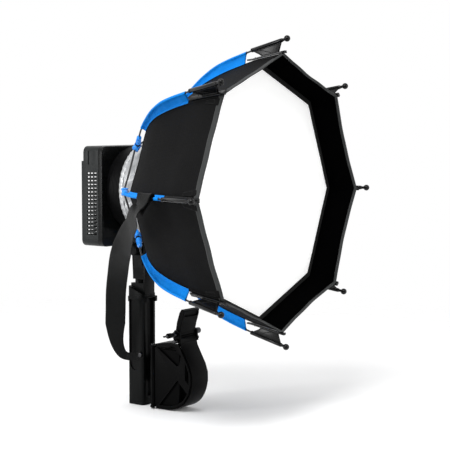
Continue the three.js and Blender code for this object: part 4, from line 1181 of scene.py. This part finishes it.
slen = [0.0]
for i in range(1, NSTR + 1):
    slen.append(slen[-1] + (line[i] - line[i - 1]).length)
rows = []
HALF_T = 0.85
strap_frames = []
for i in range(NSTR + 1):
    f = i / NSTR
    c = line[i]
    t = (line[min(NSTR, i + 1)] - line[max(0, i - 1)]).normalized()
    w, turn = wide_at(f)
    w = (w - t * w.dot(t)).normalized()
    w = w * math.cos(turn) + t.cross(w) * math.sin(turn)
    nrm = t.cross(w)
    rest = slen[-1] - slen[i]
    half = 23.0 if rest > 125 else 8.5 + 14.5 * max(0.0, (rest - 28) / 97) ** 1.2 if rest > 28 else 8.5
    strap_frames.append((c, t, w, nrm, half))
    cup = 0.5 if half > 15 else 0.0
    row = []
    sec = [(-1, 0), (-0.985, 0.75), (-0.9, 1), (-0.6, 1), (-0.3, 1), (0, 1), (0.3, 1), (0.6, 1), (0.9, 1), (0.985, 0.75), (1, 0),
           (0.985, -0.75), (0.9, -1), (0.6, -1), (0.3, -1), (0, -1), (-0.3, -1), (-0.6, -1), (-0.9, -1), (-0.985, -0.75)]
    for a, b in sec:
        bend = cup * (a * a - 0.4)
        row.append((c + w * (a * half) + nrm * (b * HALF_T + bend)) * MM)
    rows.append(row)
ns = len(rows[0])
us = [-1, -0.985, -0.9, -0.6, -0.3, 0, 0.3, 0.6, 0.9, 0.985, 1, 1.015, 1.1, 1.4, 1.7, 2.0, 2.3, 2.6, 2.9, 2.985, 3.0]
strap = grid("strap", rows, MAT["webbing"], wrap=True, uv=lambda i, j: (us[j] * 0.023, slen[i] * MM))
bm = bmesh.new()
bm.from_mesh(strap.data)
bmesh.ops.holes_fill(bm, edges=[e for e in bm.edges if e.is_boundary])
bmesh.ops.recalc_face_normals(bm, faces=bm.faces)
bm.to_mesh(strap.data)
bm.free()
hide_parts("carry_strap")
# bar tacks hold the loop and the folded lower end
tacks = []
i_t = [i for i in range(NSTR + 1) if slen[i] > 78 and slen[i] < 96]
for i in (i_t[0], i_t[len(i_t) // 2], i_t[-1]):
    c, t, w, nrm, half = strap_frames[i]
    for sg in (-1, 1):
        tacks.append([((c + w * a * (half - 3) + nrm * sg * (HALF_T + 0.3 + 0.5 * (a * a - 0.4) * sg)) * MM, nrm * sg) for a in (-1, -0.5, 0, 0.5, 1)])
for d in (30, 38):
    i = min(range(NSTR + 1), key=lambda q: abs(slen[-1] - slen[q] - d))
    c, t, w, nrm, half = strap_frames[i]
    for sg in (-1, 1):
        tacks.append([((c + w * a * (half - 2.5) + nrm * sg * (HALF_T + 0.3)) * MM, nrm * sg) for a in (-1, 0, 1)])
tack = stitches("strap_tacks", tacks, MAT["thread"], length=2.4, width=0.9, high=0.5, pitch=2.6)
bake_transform(strap)
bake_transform(tack)

# ------------------------------------------------------------------ studio
def studio_material(name, base):
    M = Mat(name, base, 0.9, spec=0.1)
    M.color(M.mix(M.remap(M.noise(3.0, 3), 0.3, 0.7), shade(base, 0.985), base))
    M.normal(M.bump(M.noise(60.0, 3), 0.05, 0.001))
    x, y, _ = M.split(M.coord())
    r = M.math("SQRT", M.math("ADD", M.math("MULTIPLY", x, x), M.math("MULTIPLY", y, y)))
    M.link(M.remap(r, 0.55, 1.9, 1, 0), M.b.inputs["Alpha"])
    return M.m


me = bpy.data.meshes.new("floor")
me.from_pydata([(-4, -4, -0.0006), (4, -4, -0.0006), (4, 4, -0.0006), (-4, 4, -0.0006)], [], [(0, 1, 2, 3)])
me.materials.append(studio_material("floor_paper", (0.93, 0.93, 0.93)))
floor = link("floor", me)

world = bpy.data.worlds.new("studio")
bpy.context.scene.world = world
world.use_nodes = True
wn = world.node_tree
bg = wn.nodes["Background"]
bg.inputs["Color"].default_value = (1, 1, 1, 1)
co = wn.nodes.new("ShaderNodeTexCoord")
dt = wn.nodes.new("ShaderNodeVectorMath")
dt.operation = "DOT_PRODUCT"
dt.inputs[1].default_value = (-cam_back.x, -cam_back.y, 0.25)
mr = wn.nodes.new("ShaderNodeMapRange")
mr.interpolation_type = "SMOOTHSTEP"
mr.inputs["From Min"].default_value = -0.75
mr.inputs["From Max"].default_value = 0.25
mr.inputs["To Min"].default_value = 0.29
mr.inputs["To Max"].default_value = 1.0
wn.links.new(co.outputs["Generated"], dt.inputs[0])
wn.links.new(dt.outputs["Value"], mr.inputs["Value"])
wn.links.new(mr.outputs["Result"], bg.inputs["Strength"])


def area(name, place, target, size, power, color=(1, 1, 1)):
    li = bpy.data.lights.new(name, "AREA")
    li.shape = "RECTANGLE"
    li.size, li.size_y = size
    li.energy = power
    li.color = color
    ob = bpy.data.objects.new(name, li)
    ob.location = place
    ob.rotation_euler = (Vector(target) - Vector(place)).to_track_quat("-Z", "Y").to_euler()
    bpy.context.scene.collection.objects.link(ob)
    return ob


area("key", (-1.6, -0.7, 2.6), (0, -0.1, 0.5), (1.4, 1.0), 62)
area("side", (-2.3, 1.3, 0.9), (0, 0, 0.45), (0.5, 1.8), 26)
area("front", (0.6, -2.8, 1.1), (0, -0.2, 0.4), (0.5, 1.8), 22)

sc = bpy.context.scene
sc.view_settings.view_transform = "Standard"
